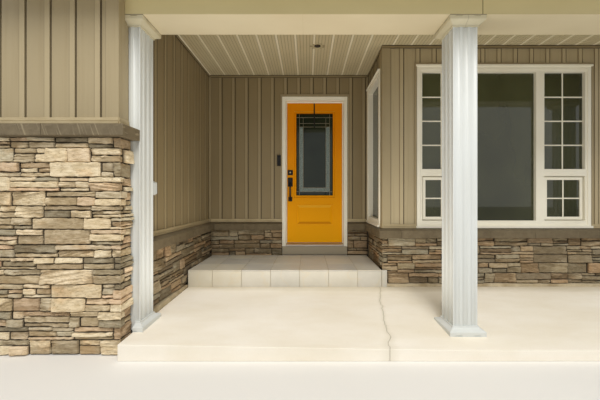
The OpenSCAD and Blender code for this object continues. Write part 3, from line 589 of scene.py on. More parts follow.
def lay_stones(rng, start, stop, foot, head, corner=None):
    """Stone outlines (left, right, low, high) between two ends along a wall, round its corner."""
    stones = []
    low = foot
    while low < head - 0.001:
        course = rng.uniform(*course_heights)
        high = head if head - low < 1.5 * course else low + course
        edges = [start, stop]
        if corner is not None:
            reach = rng.uniform(*short_returns), rng.uniform(*long_returns)
            if rng.random() < 0.5:
                reach = reach[::-1]
            edges += [max(start, corner - reach[0]), min(stop, corner + reach[1])]
        edges.sort()
        blocks = []
        for left, right in zip(edges, edges[1:]):
            holds_corner = corner is not None and left < corner < right
            while not holds_corner and right - left > longest_stone:
                width = min(rng.uniform(*stone_lengths), right - left - least_rest)
                blocks.append((left, left + width))
                left += width
            if right - left > sliver:
                blocks.append((left, right))
        for left, right in blocks:
            pattern = layer_patterns[rng.integers(len(layer_patterns))]
            level = low
            for share in pattern:
                top = level + share * (high - low)
                holds_corner = corner is not None and left < corner < right
                if right - left > least_split and not holds_corner and rng.random() < split_share:
                    middle = left + (right - left) * rng.uniform(0.3, 0.7)
                    stones += [(left, middle, level, top), (middle, right, level, top)]
                else:
                    stones.append((left, right, level, top))
                level = top
        low = high
    return stones


stone_gap = 0.0026
stone_cell_u = 0.0095
stone_cell_v = 0.0048
deepest_face = 0.032
least_thickness = 0.010
round_u, round_v = 0.007, 0.006
fall_u, fall_v = 0.010, 0.008
wobble = 0.0068
same_place = 1e-9
corner_slip = 1e-6


def depth_of_backs(u, corner, backs):
    """How far behind the wall's face the stones end, before the corner and past it."""
    return np.full(u.shape, backs[0]) if corner is None else np.where(u > corner, backs[1], backs[0])


def split_stone(rng, outline, corner, mean_depth, backs):
    """Grid of one stone's face: its places along and up the wall, its depth and its clefts."""
    left, right, low, high = outline
    left, right = left + stone_gap, right - stone_gap
    low, high = low + 1.4 * stone_gap, high - stone_gap
    holds_corner = corner is not None and left < corner < right
    if holds_corner:
        near = np.linspace(left, corner, max(3, int((corner - left) / stone_cell_u)))
        far = np.linspace(corner, right, max(3, int((right - corner) / stone_cell_u)))
        us = np.concatenate([near, far[1:]])
    else:
        us = np.linspace(left, right, max(4, int((right - left) / stone_cell_u) + 1))
    vs = np.linspace(low, high, max(4, int((high - low) / stone_cell_v) + 1))
    u, v = np.meshgrid(us, vs, indexing="ij")
    seat = rng.uniform(0.1, 0.45 if holds_corner else 1.0) * mean_depth
    lean_u, lean_v = rng.normal(0, 0.05), rng.normal(0, 0.12)
    depth = seat + lean_u * (u - (left + right) / 2) + lean_v * (v - (low + high) / 2)
    rough = rng.choice((0.35, 1.0, 1.3))
    skew = rng.normal(0, 0.14)
    bent = v + skew * (u - left) + 0.014 * lattice(rng, u, v, 0.06, 0.03)
    layer = rng.uniform(0.008, 0.018)
    steps = rng.random(64)
    cleft = 0.008 * steps[(np.floor(bent / layer).astype(int)) % 64]
    cleft += 0.006 * lattice(rng, u, v, 0.035, 0.012)
    cleft += 0.0035 * lattice(rng, u, v, 0.014, 0.006)
    chips = np.zeros_like(u)
    for _ in range(rng.integers(2, 5)):
        angle = rng.uniform(0.0, math.tau)
        chip_u, chip_v = rng.uniform(left, right), rng.uniform(low, high)
        slope = rng.uniform(0.15, 0.45)
        along = (u - chip_u) * math.cos(angle) * 0.6 + (v - chip_v) * math.sin(angle)
        chips = np.maximum(chips, slope * along)
    cleft = rough * (cleft + np.clip(chips, 0, 0.011))
    limit = depth_of_backs(u, corner, backs)
    depth = np.clip(depth + cleft, 0.0, np.minimum(limit - least_thickness, deepest_face))
    rim_u = np.minimum(u - left, right - u)
    rim_v = np.minimum(v - low, high - v)
    depth += fall_u * np.clip(1 - rim_u / round_u, 0, 1) ** 2
    depth += fall_v * np.clip(1 - rim_v / round_v, 0, 1) ** 2
    if holds_corner:
        calm = np.clip(np.abs(u - corner) / 0.03, 0.5, 1)
        depth = depth * calm + 0.004 * (1 - calm)
    depth = np.clip(depth, 0.0005, limit - 0.003)
    v += wobble * (lattice(rng, u, v, 0.03, 0.05) - 0.5) * np.clip(1 - rim_v / 0.012, 0, 1)
    return u, v, depth, cleft


def fold(u, depth, run):
    """Place in plan of a point along a run of wall and behind its face."""
    (x0, y0), (ux, uy), corner, (wx, wy) = run
    # The wall's face looks to the right of its direction of travel.
    if corner is not None:
        u = np.where(u < corner - same_place, np.minimum(u, corner - depth - corner_slip),
                     np.where(u > corner + same_place, np.maximum(u, corner + depth + corner_slip), u))
    x = x0 + ux * u - uy * depth
    y = y0 + uy * u + ux * depth
    if corner is None:
        return x, y
    corner_x, corner_y = x0 + ux * corner, y0 + uy * corner
    past = u > corner + same_place
    x = np.where(past, corner_x + wx * (u - corner) - wy * depth, x)
    y = np.where(past, corner_y + wy * (u - corner) + wx * depth, y)
    at = np.abs(u - corner) <= same_place
    x = np.where(at, corner_x - (uy + wy) * depth, x)
    y = np.where(at, corner_y + (ux + wx) * depth, y)
    return x, y


def skirted_grid(rows, columns):
    """The rim of a grid of points, and the faces of the grid and of a skirt behind the rim."""
    order = np.arange(rows * columns).reshape(rows, columns)
    rim = np.concatenate([order[:-1, 0], order[-1, :-1], order[:0:-1, -1], order[0, :0:-1]])
    quads = np.stack([order[:-1, :-1], order[1:, :-1], order[1:, 1:], order[:-1, 1:]], axis=-1)
    hem = rows * columns + np.arange(len(rim))
    skirt = np.stack([rim, hem, np.roll(hem, -1), np.roll(rim, -1)], axis=-1)
    return rim, np.concatenate([quads.reshape(-1, 4), skirt])


def stone_wall(name, rng, run, stones, backs, mean_depth, tone_range, stands_for):
    """One piece from all the stones of a run of wall, pale or dark by its range of tones: painted light and
    shade.
    """
    points, faces, tones, depths, clefts = [], [], [], [], []
    count = 0
    corner = run[2]
    for outline in stones:
        u, v, depth, cleft = split_stone(rng, outline, corner, mean_depth, backs)
        x, y = fold(u, depth, run)
        front = np.stack([x, y, v], axis=-1).reshape(-1, 3)
        rim, stone_faces = skirted_grid(*u.shape)
        rim_u = u.reshape(-1)[rim]
        back = depth_of_backs(rim_u, corner, backs)
        rim_x, rim_y = fold(rim_u, back, run)
        faces.append(count + stone_faces)
        points += [front, np.stack([rim_x, rim_y, v.reshape(-1)[rim]], axis=-1)]
        tones.append(np.full(len(front) + len(rim), rng.uniform(*tone_range)))
        # Each stone's sides are marked deep, so the painted shade below darkens them.
        depths += [depth.reshape(-1), back + 0.03]
        clefts += [cleft.reshape(-1), np.full(len(rim), 0.02)]
        count += len(front) + len(rim)
    piece = mesh_piece(name, np.concatenate(points), np.concatenate(faces))
    for mark, values in (("tone", tones), ("recess", depths), ("cleft", clefts)):
        write_marks(piece, mark, np.concatenate(values))
    fix(piece, split_face, stands_for=stands_for)


split_face = Coat("split_stone", 0.85)
shades = put(split_face.tree, "ValToRGB", {"Fac": split_face.mark("tone")})
stone_colours = ((0.0, (246, 231, 200)), (0.08, (232, 212, 176)), (0.16, (244, 228, 196)),
                 (0.24, (232, 202, 168)), (0.32, (208, 197, 170)), (0.38, (240, 222, 190)),
                 (0.44, (172, 162, 138)), (0.50, (166, 152, 126)), (0.56, (186, 161, 127)),
                 (0.64, (150, 136, 110)), (0.72, (174, 160, 132)), (0.80, (182, 154, 120)),
                 (0.88, (142, 130, 108)), (0.94, (168, 160, 138)), (1.0, (120, 108, 88)))
ramp = shades.color_ramp
while len(ramp.elements) < len(stone_colours):
    ramp.elements.new(0.5)
for element, (position, colour) in zip(ramp.elements, stone_colours):
    element.position = position
    element.color = paint(*colour)
split_face.colour = shades.outputs[0]
strata = split_face.noise(1.0, 5.0, 0.6, (9.0, 9.0, 60.0), twist=1.6)
chisel = split_face.noise(46.0, 5.0, 0.7, (1.0, 1.0, 1.6))
# The last of these coats darkens the deeper clefts: painted shade.
for value, span, shade in (
        (split_face.noise(14.0, 5.0, 0.6, (1.0, 1.0, 2.6)), (0.4, 0.7, 0.0, 0.7), (206, 196, 172)),
        (split_face.noise(5.0, stretch=(1.0, 1.0, 1.8)), (0.56, 0.72, 0.0, 0.5), (255, 230, 200)),
        (strata, (0.5, 0.72, 0.0, 0.6), (176, 160, 134)),
        (split_face.mark("cleft"), (0.009, 0.022, 0.0, 0.6), (160, 146, 118))):
    split_face.over(value, span, shade, "MULTIPLY")
# Deep places and stone sides are darkened: painted shade.
split_face.over(split_face.mark("recess"), (0.030, 0.056, 0.0, 0.9), (56, 46, 34))
split_face.over(chisel, (0.32, 0.46, 0.45, 0.0), (150, 134, 104), "MULTIPLY")
split_face.press(strata, 0.004)
split_face.press(chisel, 0.004, 0.9)
split_face.press(split_face.noise(320.0, 3.0, 0.7), 0.0009, 0.8)

foot_h = 0.030
corner_bite = 0.034
stone_low, stone_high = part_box("garage_stone")
side_stone_low, side_stone_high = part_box("garage_side_stone")
door_stone_low, door_stone_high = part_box("door_wall_stone")
alcove_stone_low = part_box("alcove_side_stone")[0]
room_stone_low, room_stone_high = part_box("front_room_stone")
floor_z = slab_high.z
low_top = door_stone_high.z
stone_rng = np.random.default_rng(23)

# A run of wall: where it starts, its direction, how far its corner is and the direction past it.
garage_len = stone_high.x - stone_low.x
garage_run = ((stone_low.x, stone_low.y), (1, 0), garage_len, (0, 1))
garage_stones = lay_stones(stone_rng, 0.0, garage_len + stone_high.y - stone_low.y, 0.004, stone_high.z,
                           corner=garage_len)
# The garage takes the pale tones and the porch walls the darker ones: painted light and painted shade.
stone_wall("garage_ledgestone", stone_rng, garage_run, garage_stones, (0.060, 0.060), 0.024, (0.0, 0.46),
           ("garage_stone",))

side_run = ((side_stone_high.x, side_stone_low.y), (0, 1), None, (0, 0))
side_len = door_stone_low.y - side_stone_low.y + corner_bite
side_stones = [s for s in lay_stones(stone_rng, 0.0, side_len, floor_z + foot_h, low_top)
               if s[3] > landing_high.z or s[0] < landing_low.y - side_stone_low.y + 0.05]
stone_wall("left_wall_ledgestone", stone_rng, side_run, side_stones, (0.060,), 0.022, (0.46, 1.0),
           ("garage_side_stone",))

door_stones = []
door_run = ((door_stone_low.x, door_stone_low.y), (1, 0), None, (0, 0))
for left, right in ((door_stone_low.x - corner_bite, casing_low.x),
                    (casing_high.x, door_stone_high.x + corner_bite / 2)):
    door_stones += lay_stones(stone_rng, left - door_stone_low.x, right - door_stone_low.x,
                              landing_high.z - 0.02, low_top)
stone_wall("door_wall_ledgestone", stone_rng, door_run, door_stones, (0.060,), 0.022, (0.46, 1.0),
           ("door_wall_stone",))

alcove_len = door_stone_low.y - room_stone_low.y
room_run = ((alcove_stone_low.x, door_stone_low.y), (0, -1), alcove_len, (1, 0))
room_stones = [s for s in lay_stones(stone_rng, 0.0, alcove_len + end_x - alcove_stone_low.x,
                                     floor_z + foot_h, low_top, corner=alcove_len)
               if s[3] > landing_high.z or s[1] > alcove_len]
stone_wall("front_room_ledgestone", stone_rng, room_run, room_stones, (0.028, 0.045), 0.016, (0.42, 0.96),
           ("alcove_side_stone", "front_room_stone"))

mortar = grained_coat("stone_mortar", 0.95, (86, 74, 58), (64, 54, 42), 0.001, 180.0, 3.0)
assemble("stone_mortar_bed", [block(low, high, 0.001) for low, high in (
    ((stone_low.x, stone_low.y + 0.050, 0.0), (stone_high.x - 0.050, garage_face + 0.02, stone_high.z)),
    ((left_face - 0.02, garage_face + 0.02, 0.0), (stone_high.x - 0.050, stone_high.y, stone_high.z)),
    ((side_stone_low.x, side_stone_low.y, 0.0), (left_face, side_stone_high.y, low_top)),
    ((left_face, door_face, 0.0), (casing_low.x, side_stone_high.y, low_top)),
    ((casing_high.x, door_face, 0.0), (alcove_face, side_stone_high.y, low_top)),
    ((alcove_stone_low.x + 0.028, room_stone_low.y + 0.045, 0.0), (alcove_face + 0.02, door_face, low_top)),
    ((alcove_face + 0.02, room_stone_low.y + 0.045, 0.0), (end_x, room_stone_high.y, low_top)))],
    mortar)


def sleeve(rings, sides):
    """Faces of a closed solid whose points lie in rings, one ring after another."""
    faces = [(i * sides + k, i * sides + (k + 1) % sides, (i + 1) * sides + (k + 1) % sides,
              (i + 1) * sides + k) for i in range(rings - 1) for k in range(sides)]
    return faces + [tuple(range(sides)), tuple((rings - 1) * sides + k for k in range(sides))]


mortar_cell = 0.012


def trowelled_strip(rng, start, stop, outward, lows, high, depth_behind, proud):
    """A strip of mortar along a wall's foot, thicker below and uneven on its face."""
    reach = math.hypot(stop[0] - start[0], stop[1] - start[1])
    shares = np.linspace(0.0, 1.0, max(2, int(reach / mortar_cell)))
    section = ((-depth_behind, 0.0), (proud, 0.0), (proud, 0.25), (proud * 0.8, 0.7), (proud * 0.4, 0.95),
               (-depth_behind, 1.0))
    wave = lattice(rng, shares * reach, shares * 0, 0.05, 1.0)
    ripple = lattice(rng, shares * reach, shares * 0, 0.018, 1.0)
    points = []
    for number, share in enumerate(shares):
        x, y = (a + (b - a) * share for a, b in zip(start, stop))
        low = lows[0] + (lows[1] - lows[0]) * share
        for depth, rise in section:
            depth -= 0.005 * wave[number] * (depth > 0)
            top = low + rise * (high - low - 0.006 * ripple[number] * (rise > 0.5))
            points.append((x + outward[0] * depth, y + outward[1] * depth, top))
    return points, sleeve(len(shares), len(section))


foot_mortar = Coat("foot_mortar", 0.9)
crumbs = foot_mortar.noise(120.0, 3.0)
foot_mortar.base(foot_mortar.noise(7.0, stretch=(1.0, 1.0, 0.4)), (0.35, 0.65), (204, 190, 160),
                 (170, 152, 120))
foot_mortar.over(crumbs, (0.55, 0.75, 0.0, 0.5), (134, 118, 92))
foot_mortar.press(crumbs, 0.001)
slab_front_z = 0.118
foot_sink = 0.002
floor_at_garage = floor_z + (floor_z - slab_front_z) * side_stone_low.y / -slab_low.y
assemble("stone_foot_mortar", [
    trowelled_strip(stone_rng, start, stop, outward, (low - foot_sink, floor_z - foot_sink),
                    floor_z + foot_h, depth_behind, 0.002)
    for start, stop, outward, low, depth_behind in (
        ((side_stone_high.x, side_stone_low.y), (side_stone_high.x, landing_low.y), (1, 0), floor_at_garage,
         0.058),
        ((room_stone_low.x, room_stone_low.y), (end_x, room_stone_low.y), (0, -1), floor_z, 0.043))],
    foot_mortar)


# Ledges
# Cast water-table stones about 495 mm long cap the stonework. Each has a chipped upper
# edge and a sloping top that sheds water, and they meet in mitres at the corners. Those
# on the garage carry slanting saw marks.

def cast_coat(name, marked):
    """Cast stone; marked stones carry the slanting saw marks."""
    coat = Coat(name, 0.8)
    coat.base(coat.mark("tone"), (0.0, 1.0), (121, 108, 84), (104, 92, 69))
    coat.over(coat.noise(16.0, 5.0, 0.65), (0.4, 0.7, 0.0, 0.6), (84, 72, 52))
    if marked:
        slanting = coat.place((0.009, 0.09, 0.28), (0.0, math.radians(-20), 0.0), "TEXTURE")
        saw_marks = put(coat.tree, "TexNoise", {"Vector": slanting, "Scale": 1.0, "Detail": 2.0,
                                                "Roughness": 0.4, "Distortion": 0.3}).outputs["Fac"]
        coat.over(saw_marks, (0.60, 0.70, 0.0, 0.45), (176, 162, 132))
        coat.press(saw_marks, 0.002, 0.6)
    coat.press(coat.noise(200.0, 3.0), 0.0008)
    return coat


ledge_front_h = 0.086
ledge_wash = 0.018
ledge_edge = 0.004
ledge_stone_len = 0.495
ledge_joint = 0.0015
ledge_cell = 0.014
least_ledge_stone = 0.12


def ledge_stone(rng, leg, start, stop, start_mitre, stop_mitre):
    """One ledge stone between two places along a leg; its ends lean by their mitres."""
    (x0, y0), (ux, uy), (nx, ny), depth, low = leg
    front_step = (ledge_front_h - 2 * ledge_edge) / 6
    section = [(0.0, 0.0), (depth * 0.5, 0.0), (depth - ledge_edge, 0.0)]
    section += [(depth, ledge_edge + front_step * k) for k in range(7)]
    section += [(depth - ledge_edge, ledge_front_h), (depth * 0.66, ledge_front_h + 0.34 * ledge_wash),
                (depth * 0.33, ledge_front_h + 0.67 * ledge_wash), (0.0, ledge_front_h + ledge_wash)]
    count = max(2, int((stop - start) / ledge_cell))
    d, h = np.array(section).T
    ends = start - start_mitre * d / depth, stop + stop_mitre * d / depth
    shares = np.linspace(0.0, 1.0, count)[:, None]
    along = ends[0] * (1 - shares) + ends[1] * shares
    height = np.broadcast_to(h, along.shape)
    chip = 0.0022 * lattice(rng, along, height, 0.03, 0.02)
    chip += 0.0012 * lattice(rng, along, height, 0.012, 0.01)
    broken = lattice(rng, along, height * 0, 0.025, 1.0) > 0.86
    chip += 0.004 * broken * (np.abs(h - ledge_front_h) < 0.006)
    out = np.clip(d - np.where(d > depth - 1.5 * ledge_edge, chip, 0.0), 0.0, depth)
    fall = np.where((d > 0.001) & (h > ledge_front_h * 0.95), 0.4 * chip, 0.0)
    points = np.stack([x0 + ux * along + nx * out, y0 + uy * along + ny * out, low + h - fall], axis=-1)
    return points.reshape(-1, 3).tolist(), sleeve(count, len(section))


def ledge_leg(rng, leg, length, first_joint, start_mitre=0.0, stop_mitre=0.0):
    """The stones of one straight leg."""
    joints = [j for j in np.arange(first_joint, length - least_ledge_stone, ledge_stone_len)
              if j > least_ledge_stone]
    ends = [0.0, *joints, length]
    stones = []
    for number, (start, stop) in enumerate(zip(ends, ends[1:])):
        at_start, at_stop = number == 0, number == len(ends) - 2
        stones.append(ledge_stone(rng, leg, start + (0 if at_start else ledge_joint),
                                  stop - (0 if at_stop else ledge_joint),
                                  start_mitre if at_start else 0.0, stop_mitre if at_stop else 0.0))
    return stones


ledge_rng = np.random.default_rng(5)
tall_ledge_low, tall_ledge_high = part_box("garage_ledge")
side_ledge_low, side_ledge_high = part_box("garage_side_ledge")
turn_ledge_low, turn_ledge_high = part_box("alcove_side_ledge")
room_ledge_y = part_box("front_room_ledge")[1].y
door_ledge_y = side_ledge_high.y
deep = side_ledge_high.x - side_ledge_low.x
thin = turn_ledge_high.x - turn_ledge_low.x
tall_y = tall_ledge_low.y + deep
no_joint = 9.0
inset = 0.0008
rightwards, towards_house, towards_street = (1, 0), (0, 1), (0, -1)
# Each leg: its start, direction, way it faces, depth and foot; its length, first joint and mitres.
legs = (
    ("garage_ledge_stones", "garage_ledge", (
        (((stone_low.x, tall_y), rightwards, towards_street, deep, tall_ledge_low.z),
         left_face - stone_low.x, 0.46, 0.0, deep - inset),
        (((left_face, tall_y), towards_house, rightwards, deep, tall_ledge_low.z),
         tall_ledge_high.y - tall_y, no_joint, deep - inset, 0.0))),
    ("left_wall_ledge_stones", "garage_side_ledge", (
        (((left_face, side_ledge_low.y), towards_house, rightwards, deep, low_top),
         door_ledge_y - side_ledge_low.y, 0.38, 0.0, -deep - inset),)),
    ("door_wall_ledge_stones", "door_wall_ledge", (
        (((left_face, door_ledge_y), rightwards, towards_street, deep, low_top),
         casing_low.x - left_face, 0.5, -deep - inset, 0.0),
        (((casing_high.x, door_ledge_y), rightwards, towards_street, deep, low_top),
         alcove_face - casing_high.x, no_joint, 0.0, -thin - inset))),
    ("alcove_side_ledge_stones", "alcove_side_ledge", (
        (((alcove_face, door_ledge_y), towards_street, (-1, 0), thin, low_top),
         door_ledge_y - room_ledge_y, 0.45, -deep - inset, deep - inset),)),
    ("front_room_ledge_stones", "front_room_ledge", (
        (((alcove_face, room_ledge_y), rightwards, towards_street, deep, low_top),
         end_x - alcove_face, 0.19, thin - inset, 0.0),)))
plain_cast = cast_coat("cast_ledge", False)
marked_cast = cast_coat("marked_cast_ledge", True)
laid = [(name, node, [stone for leg in runs for stone in ledge_leg(ledge_rng, *leg)])
        for name, node, runs in legs]
for name, node, stones in laid:
    assemble(name, stones, marked_cast if node == "garage_ledge" else plain_cast,
             stands_for=(node,), tones=ledge_rng.random(len(stones)))


# Doorway
# A painted timber frame with a stepped casing, a metal threshold, and a painted riser
# board under it that closes the step down to the landing.
almond = soft_coat("almond_white", 0.42, (249, 245, 229), (241, 235, 216), 2.2, stretch=(1.0, 1.0, 0.5),
                   peel=420.0)
almond.dull(almond.drift, 0.36, 0.48)
dress(almond, "door_frame", "door_casing", edge=0.0015)

threshold = grained_coat("mill_metal", 0.4, (196, 190, 178), (168, 160, 148), 0.0003, 1.0, 3.0,
                         stretch=(3.0, 260.0, 260.0), metallic=0.9)
threshold.dull(threshold.grain, 0.32, 0.5)
dress(threshold, "door_sill", edge=0.001)

riser_paint = grained_coat("taupe_paint", 0.55, (178, 167, 144), (166, 155, 132), 0.0003, 1.0,
                           stretch=(2.5, 150.0, 150.0))
scuffs = riser_paint.noise(9.0, 5.0, 0.7, (1.0, 1.0, 3.0))
riser_paint.over(scuffs, (0.62, 0.8, 0.0, 0.5), (184, 174, 152))
dress(riser_paint, "riser_board", edge=0.001)


# Door
# A steel-faced slab with a glazing frame and a pressed panel on both faces, painted a
# strong orange in satin. It hangs on three leaf hinges at its right edge.
orange = Coat("orange_satin", 0.34)
orange.shader.inputs["Specular IOR Level"].default_value = 0.12
sun = orange.noise(1.6, 3.0, stretch=(1.0, 1.0, 0.5))
normal = put(orange.tree, "NewGeometry", {}).outputs["Normal"]
facing = put(orange.tree, "SeparateXYZ", {0: normal}).outputs["Z"]
orange.base(sun, (0.3, 0.7), (236, 147, 0), (228, 136, 0))
# Lighter towards the foot of the door: painted light.
orange.over(orange.along("Z"), (0.5, 2.1, 1.0, 0.0), (255, 180, 0))
# Faces that look up are painted lighter and faces that look down darker: painted light and shade.
orange.over(facing, (0.05, 0.2, 0.0, 0.6), (255, 200, 60))
orange.over(facing, (-0.2, -0.05, 0.6, 0.0), (176, 96, 0))
orange.dull(sun, 0.3, 0.42)
orange.press(orange.noise(300.0, 2.0), 0.00025, 0.6)
dress(orange, "door_slab", edge=0.0014)

black = Coat("black_fittings", 0.42, metallic=0.6)
wear = black.noise(60.0, 4.0, 0.6)
black.base(wear, (0.45, 0.75), (24, 23, 22), (44, 42, 39))
black.dull(wear, 0.36, 0.5)
black.press(wear, 0.0002, 0.5)
dress(black, "deadbolt", "door_handle", "door_hinges", "frame_hinge_leaves", "doorbell", edge=0.001)


def turned(profile, centre, sides=40):
    """A solid turned about an axis along Y; the profile gives radius and depth."""
    return [(centre[0] + radius * math.cos(math.tau * k / sides), y,
             centre[1] + radius * math.sin(math.tau * k / sides))
            for radius, y in profile for k in range(sides)], sleeve(len(profile), sides)


brass = grained_coat("lock_brass", 0.3, (190, 172, 128), (160, 140, 98), 0.0002, 1.0, 2.0,
                     stretch=(400.0, 1.0, 400.0), metallic=1.0)
bolt_low, bolt_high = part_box("deadbolt")
bolt_x, bolt_z = (bolt_low.x + bolt_high.x) / 2, (bolt_low.z + bolt_high.z) / 2
key_face = bolt_low.y
plug_profile = ((0.011, key_face + 0.004), (0.011, key_face - 0.0006), (0.0096, key_face - 0.0012),
                (0.0022, key_face - 0.0012), (0.0022, key_face + 0.002))
assemble("lock_plug", [turned(plug_profile, (bolt_x, bolt_z))], brass, body="door")
assemble("keyway", [block((bolt_x - 0.0011, key_face - 0.0014, bolt_z - 0.0045),
                          (bolt_x + 0.0011, key_face + 0.003, bolt_z + 0.0045), 0.0002)],
         black, body="door")


# Over-door hanger
# A flat black steel strap hooked over the top edge of the door, bent close to its face,
# with a small upturned hook at its lower end.
strap_x = -0.004
strap_w = 0.018
strap_t = 0.0014
strap_foot = 2.163
door_low, door_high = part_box("door_slab")
back_y = door_high.y - 0.0095
face_y = door_low.y + 0.009
over_z = door_high.z + 0.0002
hook_y = door_low.y - 0.0004
strap_line = ((back_y, 2.47), (back_y, over_z), (face_y, over_z), (face_y, 2.414), (hook_y, 2.398),
              (hook_y, strap_foot + 0.016), (hook_y - 0.0054, strap_foot + 0.004),
              (hook_y - 0.0154, strap_foot), (hook_y - 0.0254, strap_foot + 0.006),
              (hook_y - 0.0284, strap_foot + 0.022))


def bent_strap(line, x, width, thickness):
    """A flat strap bent along a line in the plane across the door."""
    points = []
    for number, (y, z) in enumerate(line):
        before = line[max(number - 1, 0)]
        after = line[min(number + 1, len(line) - 1)]
        run = math.hypot(after[0] - before[0], after[1] - before[1])
        ny, nz = (after[1] - before[1]) / run * thickness, -(after[0] - before[0]) / run * thickness
        points += [(x - width / 2, y, z), (x + width / 2, y, z), (x + width / 2, y + ny, z + nz),
                   (x - width / 2, y + ny, z + nz)]
    return points, sleeve(len(line), 4)


assemble("over_door_hanger", [bent_strap(strap_line, strap_x, strap_w, strap_t)], black,
         body="door")


# Door glass
# A decorative unit: a clear bevelled border with square corners round a clear centre,
# with pebbled strips at its sides and foot, all joined by narrow metal cames.
glass_low, glass_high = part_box("door_glass")
came_x = (0.045, 0.101)
came_foot = (0.055, 0.112)
came_head = (0.055, 0.140, 0.192)
half_came = 0.003
xs = [glass_low.x, glass_low.x + came_x[0], glass_low.x + came_x[1], glass_high.x - came_x[1],
      glass_high.x - came_x[0], glass_high.x]
zs = [glass_low.z, glass_low.z + came_foot[0], glass_low.z + came_foot[1], glass_high.z - came_head[2],
      glass_high.z - came_head[1], glass_high.z - came_head[0], glass_high.z]
pane_mid = (glass_low.y + glass_high.y) / 2
pane_t = 0.0035
border_bevel = (0.011, 0.0025)
corner_bevel = (0.016, 0.003)
plain_bevel = (0.004, 0.0008)
pebble_cell = 0.0045


def bevelled_pane(x0, x1, z0, z1, bevel, rise):
    """A pane of clear glass whose edges are ground down to a slope on both faces."""
    rim = pane_t * 0.4
    points = []
    for grown, out in ((bevel, -rim - rise), (0.0, -rim), (0.0, rim), (bevel, rim + rise)):
        y = pane_mid + out
        points += [(x0 + grown, y, z0 + grown), (x1 - grown, y, z0 + grown),
                   (x1 - grown, y, z1 - grown), (x0 + grown, y, z1 - grown)]
    return points, sleeve(4, 4)


def pebbled_pane(rng, x0, x1, z0, z1):
    """A pane whose front face is rolled into shallow pebbles."""
    columns, rows = max(3, int((x1 - x0) / pebble_cell)), max(3, int((z1 - z0) / pebble_cell))
    u, v = np.meshgrid(np.linspace(x0, x1, columns), np.linspace(z0, z1, rows), indexing="ij")
    dimple = lattice(rng, u, v, 0.013, 0.013) + 0.5 * lattice(rng, u, v, 0.008, 0.008)
    front = np.stack([u, pane_mid - pane_t * 0.3 - 0.0022 * dimple, v], axis=-1).reshape(-1, 3)
    rim, faces = skirted_grid(columns, rows)
    behind = front[rim].copy()
    behind[:, 1] = pane_mid + pane_t * 0.5
    back = [len(front) + k for k in range(len(rim))]
    return np.concatenate([front, behind]).tolist(), faces.tolist() + [back]


glass_rng = np.random.default_rng(3)
clear_panes, pebbled_panes = [], []
for i, (x0, x1) in enumerate(zip(xs, xs[1:])):
    for j, (z0, z1) in enumerate(zip(zs, zs[1:])):
        if i in (0, 4) or j in (0, 5):
            clear_panes.append(bevelled_pane(x0, x1, z0, z1, *border_bevel))
        elif j == 1 or (i != 2 and j == 2):
            pebbled_panes.append(pebbled_pane(glass_rng, x0, x1, z0, z1))
        elif j == 4 and i != 2:
            clear_panes.append(bevelled_pane(x0, x1, z0, z1, *corner_bevel))
        else:
            clear_panes.append(bevelled_pane(x0, x1, z0, z1, *plain_bevel))
dark_glass = Coat("dark_door_glass", 0.04)
dark_glass.shader.inputs["IOR"].default_value = 1.5
dark_glass.shader.inputs["Transmission Weight"].default_value = 0.12
dark_glass.shader.inputs["Specular IOR Level"].default_value = 0.25
# The clear panes are tinted dark grey-green: painted shade of the room behind and painted reflection.
dark_glass.base(dark_glass.noise(1.4, 3.0), (0.3, 0.7), (46, 56, 42), (26, 34, 24))
dark_glass.press(dark_glass.noise(5.0, 2.0), 0.0008, 0.4)
assemble("clear_bevelled_glass", clear_panes, dark_glass, body="door",
         stands_for=("door_glass",))

pebble_glass = grained_coat("pebbled_glass", 0.12, (92, 108, 100), (150, 164, 154), 0.0015, 90.0, 3.0,
                            span=(0.35, 0.7))
pebble_glass.shader.inputs["IOR"].default_value = 1.5
pebble_glass.shader.inputs["Transmission Weight"].default_value = 0.3
assemble("pebbled_strips", pebbled_panes, pebble_glass, body="door")

zinc = grained_coat("zinc_came", 0.35, (178, 172, 150), (132, 124, 102), 0.0003, 45.0, metallic=0.85)
came_sink = 0.002
cross_sink = 0.0023
came_cut = 0.0018
cames = []
for x in xs[1:-1]:
    foot, head = (zs[0], zs[-1]) if x in (xs[1], xs[4]) else (zs[1], zs[-2])
    cames.append(block((x - half_came, glass_low.y + came_sink, foot),
                       (x + half_came, glass_high.y - came_sink, head), came_cut))
for z in zs[1:-1]:
    left, right = (xs[0], xs[-1]) if z in (zs[1], zs[5]) else (xs[1], xs[-2])
    cames.append(block((left, glass_low.y + cross_sink, z - half_came),
                       (right, glass_high.y - cross_sink, z + half_came), came_cut))
assemble("glass_cames", cames, zinc, body="door")


# Windows
# White vinyl frames with a nosing at the foot and a drip cap over the head. The front
# window has a fixed middle light, and narrow side lights over two hung vents, with
# white bars against the glass. The alcove window is one plain light.
dress(almond, "front_window_frame", "side_window_frame", "window_sashes", edge=0.0015)


def separate_boxes(name):
    """The boxes of a node's separate solids, left to right and then bottom to top."""
    shape = bmesh.new()
    shape.from_mesh(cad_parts[name].data)
    bmesh.ops.remove_doubles(shape, verts=shape.verts, dist=0.00005)
    boxes, met = [], set()
    for vertex in shape.verts:
        if vertex in met:
            continue
        met.add(vertex)
        group, waiting = [], [vertex]
        while waiting:
            here = waiting.pop()
            group.append(here.co.copy())
            for edge in here.link_edges:
                other = edge.other_vert(here)
                if other not in met:
                    met.add(other)
                    waiting.append(other)
        boxes.append([Vector([end(p[a] for p in group) for a in range(3)]) for end in (min, max)])
    shape.free()
    return sorted(boxes, key=lambda b: (round(b[0].x, 3), b[0].z))


